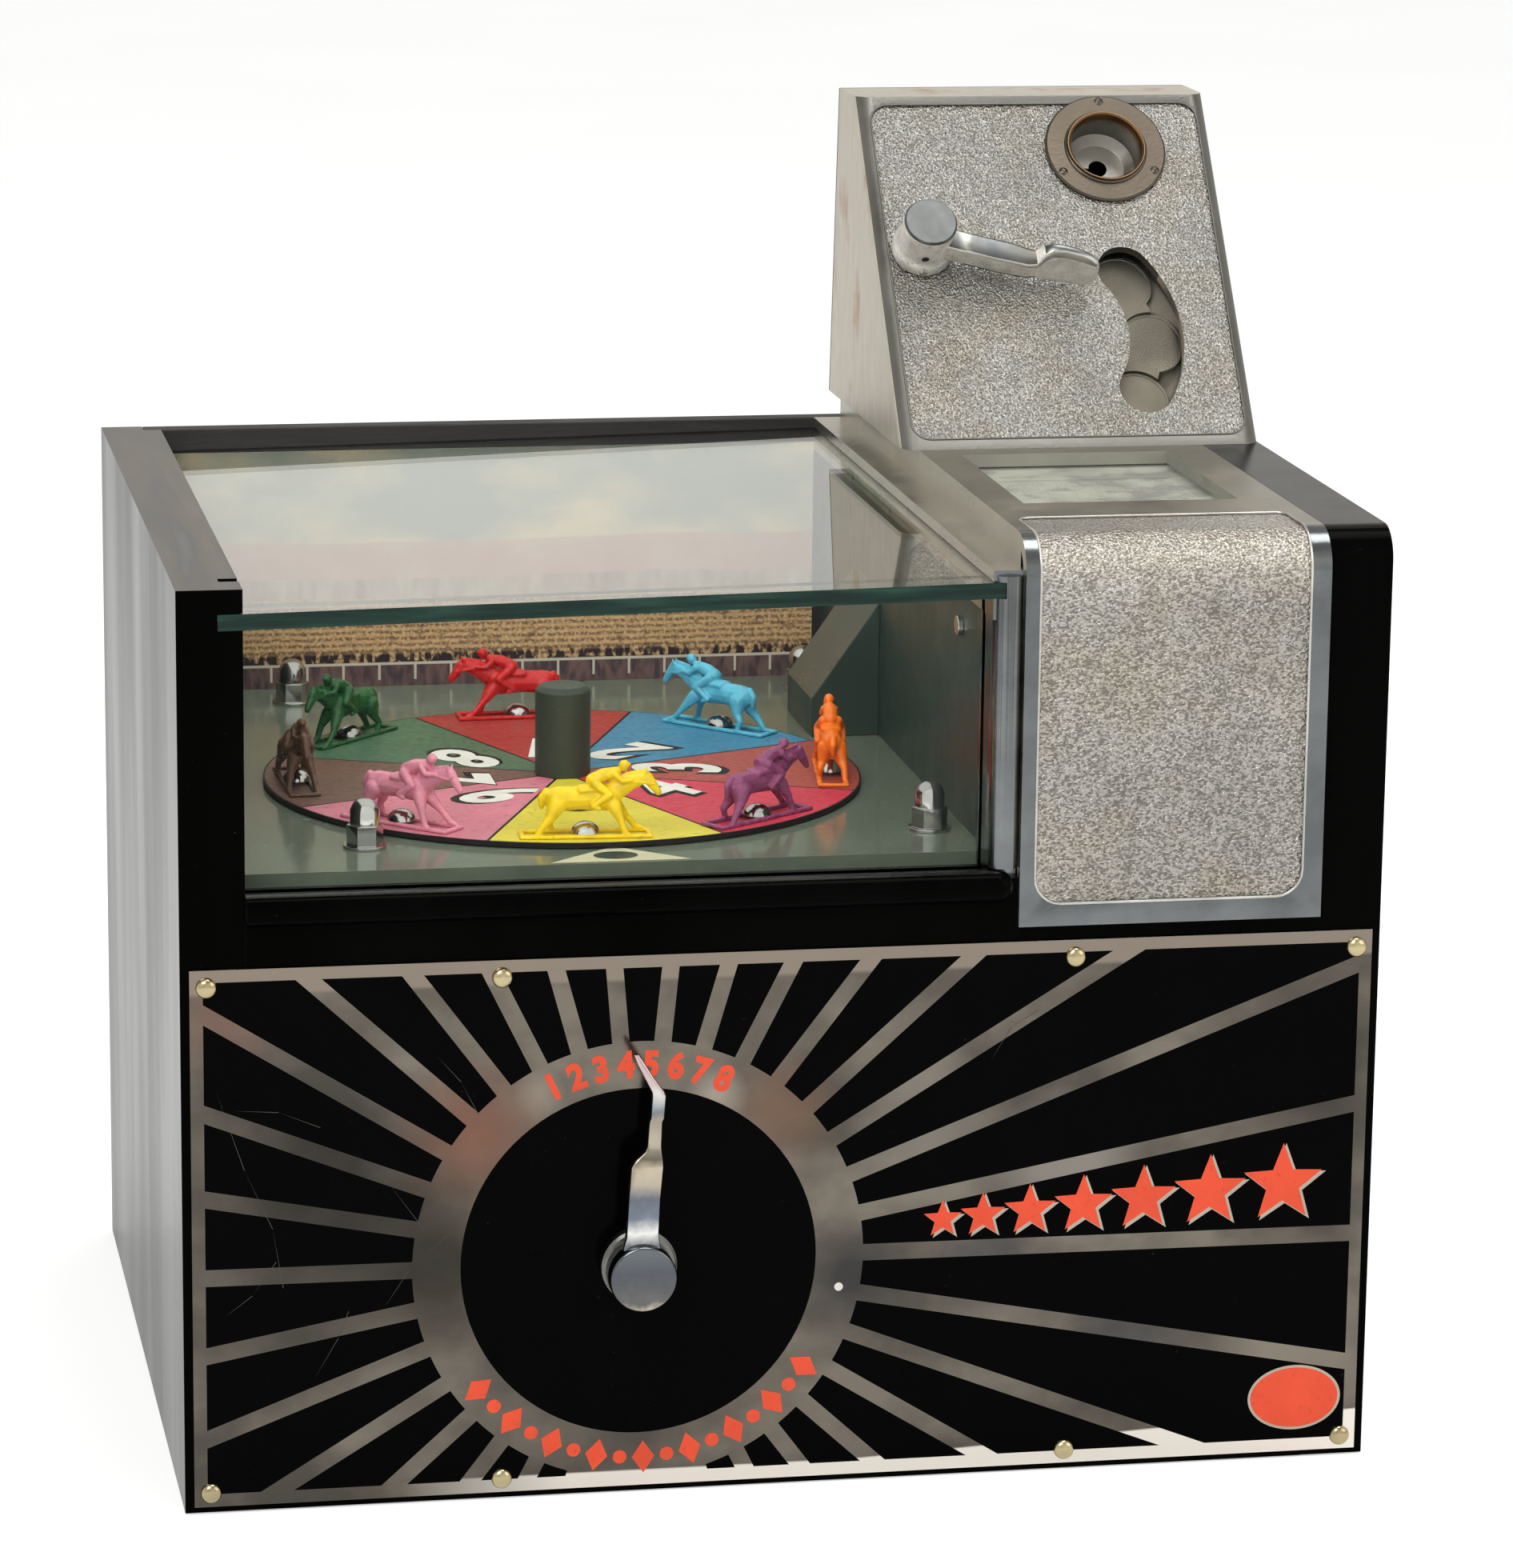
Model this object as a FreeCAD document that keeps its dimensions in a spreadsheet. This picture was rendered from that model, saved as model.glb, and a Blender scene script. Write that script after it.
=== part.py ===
import FreeCAD, Part
import math
import os
import re
import Sketcher

os.makedirs("parts", exist_ok=True)
doc = FreeCAD.newDocument("trade_stimulator")
V = FreeCAD.Vector

# Driving sizes in millimetres and degrees.
# The origin is the middle of the underside, X to the right, Y to the back, Z up.
SIZES = {
    # cabinet
    "cab_w": 356, "cab_d": 280, "board": 19, "left_h": 274.5, "board_step": 10, "right_h": "=left_h + board_step",
    "half_w": "=cab_w / 2", "half_d": "=cab_d / 2", "front": "=-half_d", "inner": "=half_w - board",
    "back_t": 7, "rebate": 5.7, "base_t": 10, "sill_z": 183, "notch": 14.5, "notch_z": "=sill_z - notch",
    "corner_r": 10, "deck_up": 4, "deck_top": "=sill_z + deck_up", "deck_t": 8, "deck_z": "=deck_top - deck_t",
    "cleat": 12, "door_top": "=deck_z - cleat - 1", "back_y": "=half_d - back_t",
    # aluminium casting at the right
    "cast_w": 91.5, "cast_x": "=inner - cast_w", "cast_proud": 1.8, "cast_wall": 4, "bend_r": 12,
    "stile_in": 8.7, "stile_x": "=cast_x - stile_in", "rail_in": 9, "rail_x": "=cast_x - rail_in",
    "rail_top": "=left_h", "rail_h": 14.5, "rail_z": "=rail_top - rail_h", "border": 4.5, "border_r": 6,
    "step_x": "=cast_x + border", "stipple_x0": "=cast_x + border", "stipple_x1": "=inner - border_r",
    "border_low": 7.3, "stipple_z": "=notch_z + border_low", "stipple_r": 8, "stipple_d": 30,
    "stipple_y": "=front + stipple_d", "relief": 0.5,
    # glasses of the well
    "glass_t": 4.7, "glass_tilt": 0.98, "glass_in": 7.1, "glass_drop": 11.94, "glass_z": "=left_h - glass_drop",
    "well_in": 5.5, "well_r": "=cast_x - well_in", "pane_t": 4.4, "pane_y": 12, "pane_z": "=sill_z",
    "liner_t": 2, "liner_foot": 14, "liner_in": 58, "liner_screw_y": "=front + liner_in",
    "liner_down": 13, "liner_screw_z": "=rail_z - liner_down",
    "guard_y": 37, "guard_l": 41, "guard_w": 22, "guard_low": 12.5, "guard_high": 44, "guard_t": 1,
    # plate on the front
    "plate_t": 1.2, "plate_gap": 2.65, "plate_l": "=half_w - plate_gap", "plate_r": "=half_w - plate_gap",
    "plate_z": 2, "plate_up": 4.5, "plate_top": "=notch_z - plate_up", "screw_a": 85, "screw_in": 7.5,
    "screw_b": "=half_w - screw_in", "screw_low": "=plate_z + 4.3", "screw_high": "=plate_top - 5.2",
    "screw_head": 3.1, "screw_r": 1.5, "screw_len": 12,
    # pointer on the front
    "ring_in": 133.6, "ring_x": "=ring_in - half_w", "ring_z": 71.2, "shaft_r": 4, "run": 0.05, "bush_r": 7,
    "collar_r": 11.7, "collar_h": 5, "knob_r": 9.9, "knob_h": 14.8, "pointer_len": 66.4,
    "pointer_w": 10.4, "pointer_w0": 8.5, "pointer_w1": 12.5,
    # coin head
    "head_w": 115.7, "head_l": "=half_w - head_w", "lean": 38.7, "head_len": 130.1, "head_wall": 4,
    "head_in": 24, "head_back": "=half_d - head_in", "foot_in": 14.2, "head_foot": "=half_d - foot_in",
    "head_run": 118.2, "head_y": "=head_foot - head_run", "head_round": 5,
    "cover_t": 1.5, "head_pad": 3.8, "head_top_pad": 3, "panel_relief": 0.6, "panel_r": 6,
    # window and card in the top of the casting
    "win_in": 11.5, "win_x0": "=cast_x + win_in", "win_out": 14, "win_x1": "=inner - win_out",
    "win_front": 53, "win_y0": "=front + win_front", "win_gap": 9.6, "win_y1": "=head_y - win_gap",
    "lens_t": 3, "card_t": 1, "lap": 5, "tray_t": 1.5,
    # coin entry
    "coin_in": 36, "coin_x": "=half_w - coin_in", "coin_down": 20.5, "coin_v": "=head_len - coin_down",
    "coin_r": 11.66, "bezel_r": 19.8, "rim_r": 13.15, "rivet_ring": 17.5, "rivet_a": 90,
    "cup_r": 12.6, "cup_deep": 13,
    # coin wheel
    "wheel_in": 61.5, "wheel_x": "=half_w - wheel_in", "wheel_v": 41.7, "pitch_r": 33.3, "token_r": 10.6,
    "token_t": 1.9, "wheel_r": 36, "wheel_t": 3, "wheel_w": -10, "kid_back": 5.5, "kid_x": "=wheel_x - kid_back",
    "kid_v": "=wheel_v", "kid_in": 30, "kid_out": 47.5, "kid_a": 36, "kid_b": -32, "token_gap": 1.3,
    "track_r": "=pitch_r + token_r + token_gap", "track_t": 2,
    # play lever
    "lever_in": 13.7, "lever_x": "=head_l + lever_in", "lever_v": 71.7, "lever_flange": 9.8, "lever_knob": 8.5,
    "lever_top": 20, "lever_len": 59, "lever_rest": -14, "arm_w": 13, "crank_l": 24,
    # carousel
    "disc_off": 0.5, "disc_x": "=(well_r - inner) / 2 + disc_off", "disc_y": -12, "disc_room": 18,
    "disc_r": "=(well_r + inner) / 2 - disc_room", "disc_t": 1.5, "disc_gap": 0.5, "post_r": 8.6,
    "post_h": 28, "spindle_r": 4, "disc_z": "=deck_top + disc_gap", "disc_top": "=disc_z + disc_t",
    "horse_in": 9.5, "horse_ring": "=disc_r - horse_in", "horse_h": 23, "unit": "=horse_h / 23",
    "frame_l": 39.5, "frame_w": 9.6, "frame_bar": 1.6, "frame_t": 1.2, "dome_r": 4.3, "dome_h": 3.2,
    # acorn nuts and chassis
    "nut_l": 40, "nut_x0": "=nut_l - inner", "nut_r": 11, "nut_x1": "=well_r - nut_r", "nut_f": 48,
    "nut_y0": "=front + nut_f", "nut_b": 23, "nut_y1": "=back_y - nut_b", "nut_af": 9.5, "stud_r": 2.4,
    "chassis_drop": 31, "chassis_z": "=deck_z - chassis_drop", "chassis_t": 3, "pillar_r": 4.5,
    # down chute and coin box
    "duct_x": "=kid_x", "duct_in": 3.4, "duct_y": "=head_y + duct_in", "duct_w": 26, "duct_d": 18, "box_h": 46,
    "duct_low": 4, "duct_z": "=base_t + box_h + duct_low", "duct_down": 22.5, "duct_top": "=right_h - duct_down",
    "box_gap": 7, "box_r": "=inner - box_gap", "box_w": 86, "box_l": "=box_r - box_w",
    "box_back": 13, "box_y1": "=back_y - box_back", "box_d": 150, "box_y0": "=box_y1 - box_d", "sheet_t": 1,
    # back door
    "door_gap": 0.5, "hinge_r": 2.5, "hinge_up": 28, "hinge_low": "=base_t + hinge_up", "hinge_down": 38,
    "hinge_high": "=door_top - hinge_down", "hinge_h": 24,
    "lock_in": 21, "lock_x": "=inner - lock_in", "lock_z": "=(base_t + door_top) / 2", "lock_r": 6,
}
sheet = doc.addObject("Spreadsheet::Sheet", "sizes")
for row, (name, value) in enumerate(SIZES.items(), 1):
    sheet.set("A%d" % row, name)
    sheet.set("B%d" % row, str(value))
    sheet.setAlias("B%d" % row, name)
doc.recompute()


def size(name):
    return float(sheet.get(name))


def expr(text):
    """Write a formula on the names of the sizes as an expression on the sheet"""
    return re.sub(r"[A-Za-z_]\w*", lambda m: "sizes." + m.group(0) if m.group(0) in SIZES else m.group(0),
                  str(text))


def number(text):
    """The present value of a formula on the sizes, worked out by the sheet itself"""
    sheet.set("D1", "=" + str(text))
    sheet.recompute()
    return float(sheet.get("D1"))


def place(shape, x=0, y=0, z=0):
    for axis, text in zip("xyz", (x, y, z)):
        if str(text) != "0":
            shape.setExpression("Placement.Base." + axis, expr(text))
    return shape


def turn(shape, axis, angle):
    """Turn about one axis, by an angle that may be a formula"""
    shape.Placement.Rotation = FreeCAD.Rotation(V(*axis), 10)
    shape.setExpression("Placement.Rotation.Angle", expr(angle))
    return shape


def make(kind, name, at=(0, 0, 0), **props):
    shape = doc.addObject("Part::" + kind, name)
    for prop, text in props.items():
        shape.setExpression(prop, expr(text))
    return place(shape, *at)


def box(name, x0, x1, y0, y1, z0, z1):
    return make("Box", name, (x0, y0, z0), Length="%s - (%s)" % (x1, x0), Width="%s - (%s)" % (y1, y0),
                Height="%s - (%s)" % (z1, z0))


def rod(name, x, y, z0, z1, r):
    return make("Cylinder", name, (x, y, z0), Radius=r, Height="%s - (%s)" % (z1, z0))


def rod_x(name, x0, x1, y, z, r):
    bar = make("Cylinder", name, (x0, y, z), Radius=r, Height="%s - (%s)" % (x1, x0))
    bar.Placement.Rotation = FreeCAD.Rotation(V(0, 1, 0), 90)
    return bar


def rod_y(name, x, y0, y1, z, r):
    bar = make("Cylinder", name, (x, y1, z), Radius=r, Height="%s - (%s)" % (y1, y0))
    bar.Placement.Rotation = FreeCAD.Rotation(V(1, 0, 0), 90)
    return bar


def cut(name, base, *tools):
    tool = tools[0] if len(tools) == 1 else fuse(name + "_tools", *tools)
    shape = doc.addObject("Part::Cut", name)
    shape.Base = base
    shape.Tool = tool
    return shape


def fuse(name, *shapes):
    shape = doc.addObject("Part::MultiFuse", name)
    shape.Shapes = list(shapes)
    return shape


def group(name, *shapes):
    """Several like pieces that share a name, kept as separate solids"""
    shape = doc.addObject("Part::Compound", name)
    shape.Links = list(shapes)
    return shape


def common(name, *shapes):
    shape = doc.addObject("Part::MultiCommon", name)
    shape.Shapes = list(shapes)
    return shape


def outline(body, name, role, points):
    """A closed outline of straight lines, each corner tied to the sheet"""
    plane = [f for f in body.Origin.OriginFeatures if f.Role == role][0]
    sketch = body.newObject("Sketcher::SketchObject", name)
    sketch.AttachmentSupport = [(plane, "")]
    sketch.MapMode = "FlatFace"
    spots = [(number(x), number(y)) for x, y in points]
    count = len(spots)
    for i in range(count):
        here, there = spots[i], spots[(i + 1) % count]
        sketch.addGeometry(Part.LineSegment(V(here[0], here[1], 0), V(there[0], there[1], 0)))
    for i in range(count):
        sketch.addConstraint(Sketcher.Constraint("Coincident", i, 2, (i + 1) % count, 1))
    for i, (x, y) in enumerate(points):
        for kind, text, value in (("DistanceX", x, spots[i][0]), ("DistanceY", y, spots[i][1])):
            index = sketch.addConstraint(Sketcher.Constraint(kind, -1, 1, i, 1, value))
            if re.search("[a-z]", str(text)):
                sketch.setExpression("Constraints[%d]" % index, expr(text))
    return sketch


def prism(name, role, points, length, back=False):
    """Pad an outline. XY_Plane pads up, YZ_Plane to the right, XZ_Plane to the front"""
    body = doc.addObject("PartDesign::Body", name)
    sketch = outline(body, name + "_outline", role, points)
    pad = body.newObject("PartDesign::Pad", name + "_pad")
    pad.Profile = sketch
    pad.setExpression("Length", expr(length))
    pad.Reversed = back
    return body


def turned(name, points):
    """Spin an outline of radius and height once about the Z axis"""
    body = doc.addObject("PartDesign::Body", name)
    sketch = outline(body, name + "_outline", "XZ_Plane", points)
    spin = body.newObject("PartDesign::Revolution", name + "_spin")
    spin.Profile = sketch
    spin.ReferenceAxis = (sketch, ["V_Axis"])
    spin.Angle = 360
    return body


def on_panel(shape, x=0, v=0, w=0):
    """Stand a piece on the sloping panel: x across, v up the slope, w out of it"""
    turn(shape, (1, 0, 0), "90 - lean")
    return place(shape, x, "head_y + (%s) * sin(lean) - (%s) * cos(lean)" % (v, w),
                 "right_h + (%s) * cos(lean) + (%s) * sin(lean)" % (v, w))


def on_front(shape, x=0, z=0, w=0):
    """Stand a piece on the front plate: local y is up and local z comes out of it"""
    shape.Placement.Rotation = FreeCAD.Rotation(V(1, 0, 0), 90)
    return place(shape, x, "front - plate_t - (%s)" % w, z)


NODES = {}


def node(name, shape, label=None):
    shape.Label = label or name
    NODES[name] = shape
    return shape


# Side boards, with grooves for both panes and a rebate for the back
screw_spots = [(side + x, z) for side in ("", "-") for x in ("screw_a", "screw_b")
               for z in ("screw_low", "screw_high")]
screw_holes = fuse("plate_screw_holes", *[
    rod_y("screw_hole_%d" % i, x, "front", "front + screw_len", z, "screw_r")
    for i, (x, z) in enumerate(screw_spots)])

left = box("left_blank", "-half_w", "-inner", "front", "half_d", "0", "left_h")
pane_groove = box("left_pane_groove", "-inner - rebate", "-inner + 1", "front + pane_y",
                  "front + pane_y + pane_t", "pane_z", "left_h + 1")
glass_groove = make("Box", "left_glass_groove", ("-inner - glass_in", "front - 1", "glass_z"),
                    Length="glass_in + 3", Width="cab_d - back_t + 1", Height="glass_t + 0.1")
turn(glass_groove, (0, 1, 0), "-glass_tilt")
left_rebate = box("left_rebate", "-inner - rebate", "-inner + 1", "back_y", "half_d + 1", "base_t", "left_h + 1")
node("left_side_panel", cut("left_cut", left, pane_groove, glass_groove, left_rebate, screw_holes))

right = box("right_blank", "inner", "half_w", "front", "half_d", "0", "right_h")
right_rebate = box("right_rebate", "inner - 1", "inner + rebate", "back_y", "half_d + 1", "base_t", "left_h")
corner = cut("right_corner",
             box("right_corner_block", "inner - 1", "half_w + 1", "front - 1", "front + corner_r",
                 "right_h - corner_r", "right_h + 1"),
             rod_x("right_corner_round", "inner - 2", "half_w + 2", "front + corner_r", "right_h - corner_r",
                   "corner_r"))
node("right_side_panel", cut("right_cut", right, right_rebate, corner, screw_holes))

# Front board with the step for the casting, base, deck and back
board_front = prism("front_board_blank", "XZ_Plane", [
    ("-inner", "0"), ("inner", "0"), ("inner", "notch_z"), ("cast_x", "notch_z"), ("cast_x", "sill_z"),
    ("-inner", "sill_z")], "board")
place(board_front, 0, "front + board", 0)
pointer_hole = rod_y("pointer_hole", "ring_x", "front - 5", "front + board + 5", "ring_z", "bush_r")
node("front_board", cut("front_board_cut", board_front, pointer_hole, screw_holes))

node("base_board", box("base_blank", "-inner", "inner", "front + board", "half_d", "0", "base_t"))
node("upper_back_board", box("upper_back", "-inner - rebate", "inner + rebate", "back_y", "half_d", "door_top",
                             "left_h"))

stud_spots = [(x, y) for x in ("nut_x0", "nut_x1") for y in ("nut_y0", "nut_y1")]
stud_holes = fuse("stud_holes", *[rod("stud_hole_%d" % i, x, y, "chassis_z - 5", "deck_top + 9", "stud_r")
                                  for i, (x, y) in enumerate(stud_spots)])
deck = box("deck_blank", "-inner", "inner", "front + board", "back_y", "deck_z", "deck_top")
deck_bore = rod("deck_bore", "disc_x", "disc_y", "deck_z - 1", "deck_top + 1", "bush_r")
duct_hole = box("duct_hole", "duct_x - duct_w / 2", "duct_x + duct_w / 2", "duct_y - duct_d / 2",
                "duct_y + duct_d / 2", "deck_z - 1", "deck_top + 1")
node("well_floor", cut("deck_cut", deck, stud_holes, deck_bore, duct_hole))
cleats = [box("cleat_%s" % tag, x0, x1, "front + board", "back_y", "deck_z - cleat", "deck_z")
          for tag, x0, x1 in (("left", "-inner", "-inner + cleat"), ("right", "inner - cleat", "inner"))]
node("deck_cleats", group("cleats", *cleats))

# Half round moulding under the front pane
half_round = fuse("moulding_round",
                  rod_x("moulding_bar", "-inner", "cast_x - 6.25", "front", "sill_z - 2.25", "4.75"),
                  make("Sphere", "moulding_end", ("cast_x - 6.25", "front", "sill_z - 2.25"), Radius="4.75"))
node("front_moulding", common("moulding_half", half_round,
                              box("moulding_keep", "-inner", "cast_x", "front - 6", "front", "sill_z - 9",
                                  "sill_z + 4")))

# Glass over the well, tilted a little, and the front pane under it
top_glass = make("Box", "top_glass_pane", ("-inner - glass_in", "front", "glass_z"),
                 Length="(well_r + inner + glass_in) / cos(glass_tilt)", Width="cab_d - back_t", Height="glass_t")
turn(top_glass, (0, 1, 0), "-glass_tilt")
node("top_glass", top_glass)
under = "glass_z + (%s + inner + glass_in) * tan(glass_tilt)"
front_pane = prism("front_pane", "XZ_Plane", [
    ("-inner - rebate", "pane_z"), ("well_r", "pane_z"), ("well_r", under % "well_r"),
    ("-inner - rebate", under % "(-inner - rebate)")], "pane_t")
node("front_glass", place(front_pane, 0, "front + pane_y + pane_t", 0))

# Backdrop card and the sheet lining at the right of the well
node("backdrop_card", box("backdrop", "-inner", "rail_x", "back_y - 0.8", "back_y", "deck_top", "glass_z"))
liner = fuse("liner_sheet",
             box("liner_wall", "well_r", "well_r + liner_t", "front + board", "back_y", "deck_top", "rail_z"),
             box("liner_foot_strip", "well_r", "well_r + liner_foot", "front + board", "back_y", "deck_top",
                 "deck_top + liner_t"))
liner_hole = rod_x("liner_hole", "well_r - 1", "well_r + 9", "liner_screw_y", "liner_screw_z", "screw_r")
node("well_liner_right", cut("liner_cut", liner, liner_hole))
liner_screw = fuse("liner_screw_body",
                   rod_x("liner_shank", "well_r", "well_r + 8", "liner_screw_y", "liner_screw_z", "screw_r"),
                   rod_x("liner_head", "well_r - 1.8", "well_r", "liner_screw_y", "liner_screw_z", "3"))
node("liner_screw", liner_screw)
guard_out = prism("guard_outer", "XZ_Plane", [
    ("well_r - guard_w", "deck_top"), ("well_r", "deck_top"), ("well_r", "deck_top + guard_high"),
    ("well_r - guard_w", "deck_top + guard_low")], "guard_l")
guard_in = prism("guard_inner", "XZ_Plane", [
    ("well_r - guard_w + guard_t", "deck_top - 1"), ("well_r + 1", "deck_top - 1"),
    ("well_r + 1", "deck_top + guard_high - guard_t / 2"),
    ("well_r - guard_w + guard_t", "deck_top + guard_low - 0.4")], "guard_l - 2 * guard_t")
node("corner_guard", cut("guard_shell", place(guard_out, 0, "guard_y + guard_l", 0),
                         place(guard_in, 0, "guard_y + guard_l - guard_t", 0)))

# Plate with its eight round head screws
plate = box("plate_blank", "-plate_l", "plate_r", "front - plate_t", "front", "plate_z", "plate_top")
plate_holes = fuse("plate_holes", *[
    rod_y("plate_hole_%d" % i, x, "front - 5", "front + 5", z, "screw_r")
    for i, (x, z) in enumerate(screw_spots)])
node("sunburst_plate", cut("plate_cut", plate, plate_holes, pointer_hole))
screws = []
for i, (x, z) in enumerate(screw_spots):
    screw = turned("plate_screw_%d" % i, [
        ("0", "-screw_len - plate_t"), ("screw_r", "-screw_len - plate_t"), ("screw_r", "0"), ("screw_head", "0"),
        ("screw_head * 0.6", "1.7"), ("0", "1.7")])
    screws.append(on_front(screw, x, z, "0"))
node("plate_screws", group("screws", *screws))

# Pointer that chooses a number
hub_cut = make("Cylinder", "hub_bore", (0, 0, -1), Radius="shaft_r", Height="knob_h - 3")
grub_hole = rod_x("grub_hole", "-collar_r - 1", "0", "0", "collar_h / 2 + 0.4", "1.3")
collar = turned("pointer_hub", [
    ("0", "0.3"), ("collar_r", "0.3"), ("collar_r", "collar_h - 0.8"), ("collar_r - 0.8", "collar_h"),
    ("knob_r", "collar_h"), ("knob_r", "knob_h - 0.8"), ("knob_r - 0.8", "knob_h"), ("0", "knob_h")])
blade = prism("pointer_blade", "XY_Plane", [
    ("-pointer_w / 2", "0"), ("pointer_w / 2", "0"), ("pointer_w / 2", "pointer_len * 0.46"),
    ("pointer_w * 0.44", "pointer_len * 0.53"), ("pointer_w * 0.5", "pointer_len * 0.64"),
    ("pointer_w * 0.62", "pointer_len * 0.8"), ("-pointer_w * 0.21", "pointer_len"),
    ("-pointer_w * 0.44", "pointer_len * 0.965"), ("pointer_w * 0.2", "pointer_len * 0.785"),
    ("pointer_w * 0.07", "pointer_len * 0.64"), ("-pointer_w * 0.18", "pointer_len * 0.53"),
    ("-pointer_w / 2", "pointer_len * 0.46")], "pointer_w1 - pointer_w0")
place(blade, 0, 0, "pointer_w0")
pointer = cut("pointer_body", fuse("pointer_solid", collar, blade), hub_cut, grub_hole)
node("pointer_lever", on_front(pointer, "ring_x", "ring_z", "0"))
grub = make("Cylinder", "pointer_grub", Radius="1.3", Height="collar_r - shaft_r - 0.4")
grub.Placement.Rotation = FreeCAD.Rotation(V(0, 1, 0), 90)
place(grub, "ring_x - collar_r + 0.4", "front - plate_t - collar_h / 2 - 0.4", "ring_z")
node("pointer_set_screw", grub)
node("pointer_shaft", rod_y("pointer_rod", "ring_x", "front - plate_t - knob_h + 4", "front + board + 12",
                            "ring_z", "shaft_r"))
bush = fuse("pointer_bush_body",
            rod_y("pointer_bush_tube", "ring_x", "front - plate_t", "front + board", "ring_z", "bush_r"),
            rod_y("pointer_bush_flange", "ring_x", "front + board", "front + board + 2", "ring_z",
                  "bush_r + 4"))
node("pointer_bush", cut("pointer_bush_cut", bush,
                         rod_y("pointer_bush_bore", "ring_x", "front - 9", "front + board + 9", "ring_z",
                               "shaft_r + run")))
retainer = cut("retainer_ring",
               rod_y("retainer_blank", "ring_x", "front + board + 2.3", "front + board + 8", "ring_z", "9"),
               rod_y("retainer_bore", "ring_x", "front + board", "front + board + 9", "ring_z", "shaft_r"))
node("pointer_retainer", retainer)

# Aluminium casting: front, rounded bend, top, stile and rail
f_out = "front - cast_proud"
skin = fuse("cast_skin",
            box("cast_front", "cast_x", "inner", f_out, "front - cast_proud + cast_wall", "notch_z",
                "right_h - bend_r"),
            box("cast_top", "cast_x", "inner", "front - cast_proud + bend_r", "back_y", "right_h - cast_wall",
                "right_h"),
            common("cast_bend",
                   cut("cast_bend_ring",
                       rod_x("cast_bend_out", "cast_x", "inner", "front - cast_proud + bend_r",
                             "right_h - bend_r", "bend_r"),
                       rod_x("cast_bend_in", "cast_x - 1", "inner + 1", "front - cast_proud + bend_r",
                             "right_h - bend_r", "bend_r - cast_wall")),
                   box("cast_bend_keep", "cast_x", "inner", f_out, "front - cast_proud + bend_r",
                       "right_h - bend_r", "right_h")),
            box("cast_web", "cast_x", "step_x", "front + 6", "back_y", "rail_z", "right_h - 1"),
            box("rail", "rail_x", "cast_x + 1", "front + 1", "back_y", "rail_z", "rail_top"),
            make("Cylinder", "stile_round", ("stile_x + 4.6", "front + 3.2", "sill_z + 3"), Radius="4.6",
                 Height="rail_top - 4.5 - sill_z"),
            box("stile", "stile_x", "cast_x + 1", "front + 3.2", "front + board", "sill_z", "rail_z + 1"))
stipple = fuse("stipple_tool",
               box("stipple_front", "stipple_x0", "stipple_x1", "front - cast_proud - 1",
                   "front - cast_proud + relief", "stipple_z + stipple_r", "right_h - bend_r"),
               box("stipple_low", "stipple_x0 + stipple_r", "stipple_x1 - stipple_r", "front - cast_proud - 1",
                   "front - cast_proud + relief", "stipple_z", "stipple_z + stipple_r + 1"),
               *[rod_y("stipple_corner_" + tag, x, "front - cast_proud - 1", "front - cast_proud + relief",
                       "stipple_z + stipple_r", "stipple_r")
                 for tag, x in (("left", "stipple_x0 + stipple_r"), ("right", "stipple_x1 - stipple_r"))],
               box("stipple_top", "stipple_x0", "stipple_x1", "front - cast_proud + bend_r", "stipple_y",
                   "right_h - relief", "right_h + 1"),
               cut("stipple_bend",
                   box("stipple_bend_block", "stipple_x0", "stipple_x1", "front - cast_proud - 1",
                       "front - cast_proud + bend_r", "right_h - bend_r", "right_h + 1"),
                   rod_x("stipple_bend_core", "stipple_x0 - 1", "stipple_x1 + 1", "front - cast_proud + bend_r",
                         "right_h - bend_r", "bend_r - relief")))
slot = make("Box", "cast_glass_slot", ("rail_x - 5", "front - 9", "glass_z + (rail_x - 5 + inner + glass_in)"
                                       " * tan(glass_tilt)"),
            Length="(well_r - rail_x + 5) / cos(glass_tilt)", Width="cab_d + 18",
            Height="glass_t + 0.1")
turn(slot, (0, 1, 0), "-glass_tilt")
pane_slot = box("cast_pane_slot", "stile_x - 2", "well_r", "front + pane_y", "front + pane_y + pane_t",
                "sill_z - 1", "glass_z + 6")
window = box("cast_window", "win_x0", "win_x1", "win_y0", "win_y1", "right_h - 9", "right_h + 1")
under_head = box("cast_under_head", "step_x", "inner - 4", "head_y + 4", "back_y - 12", "right_h - 9",
                 "right_h + 1")
node("front_casting", cut("casting", skin, stipple, slot, pane_slot, window, under_head))
lens_z = "right_h - cast_wall - lens_t"
node("card_glass", box("card_lens", "win_x0 - lap", "win_x1 + lap", "win_y0 - lap", "win_y1 + lap", lens_z,
                       "right_h - cast_wall"))
node("award_card", box("card_sheet", "win_x0 - lap", "win_x1 + lap", "win_y0 - lap", "win_y1 + lap",
                       lens_z + " - card_t", lens_z))
tray_z = "right_h - cast_wall - lens_t - card_t"
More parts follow.
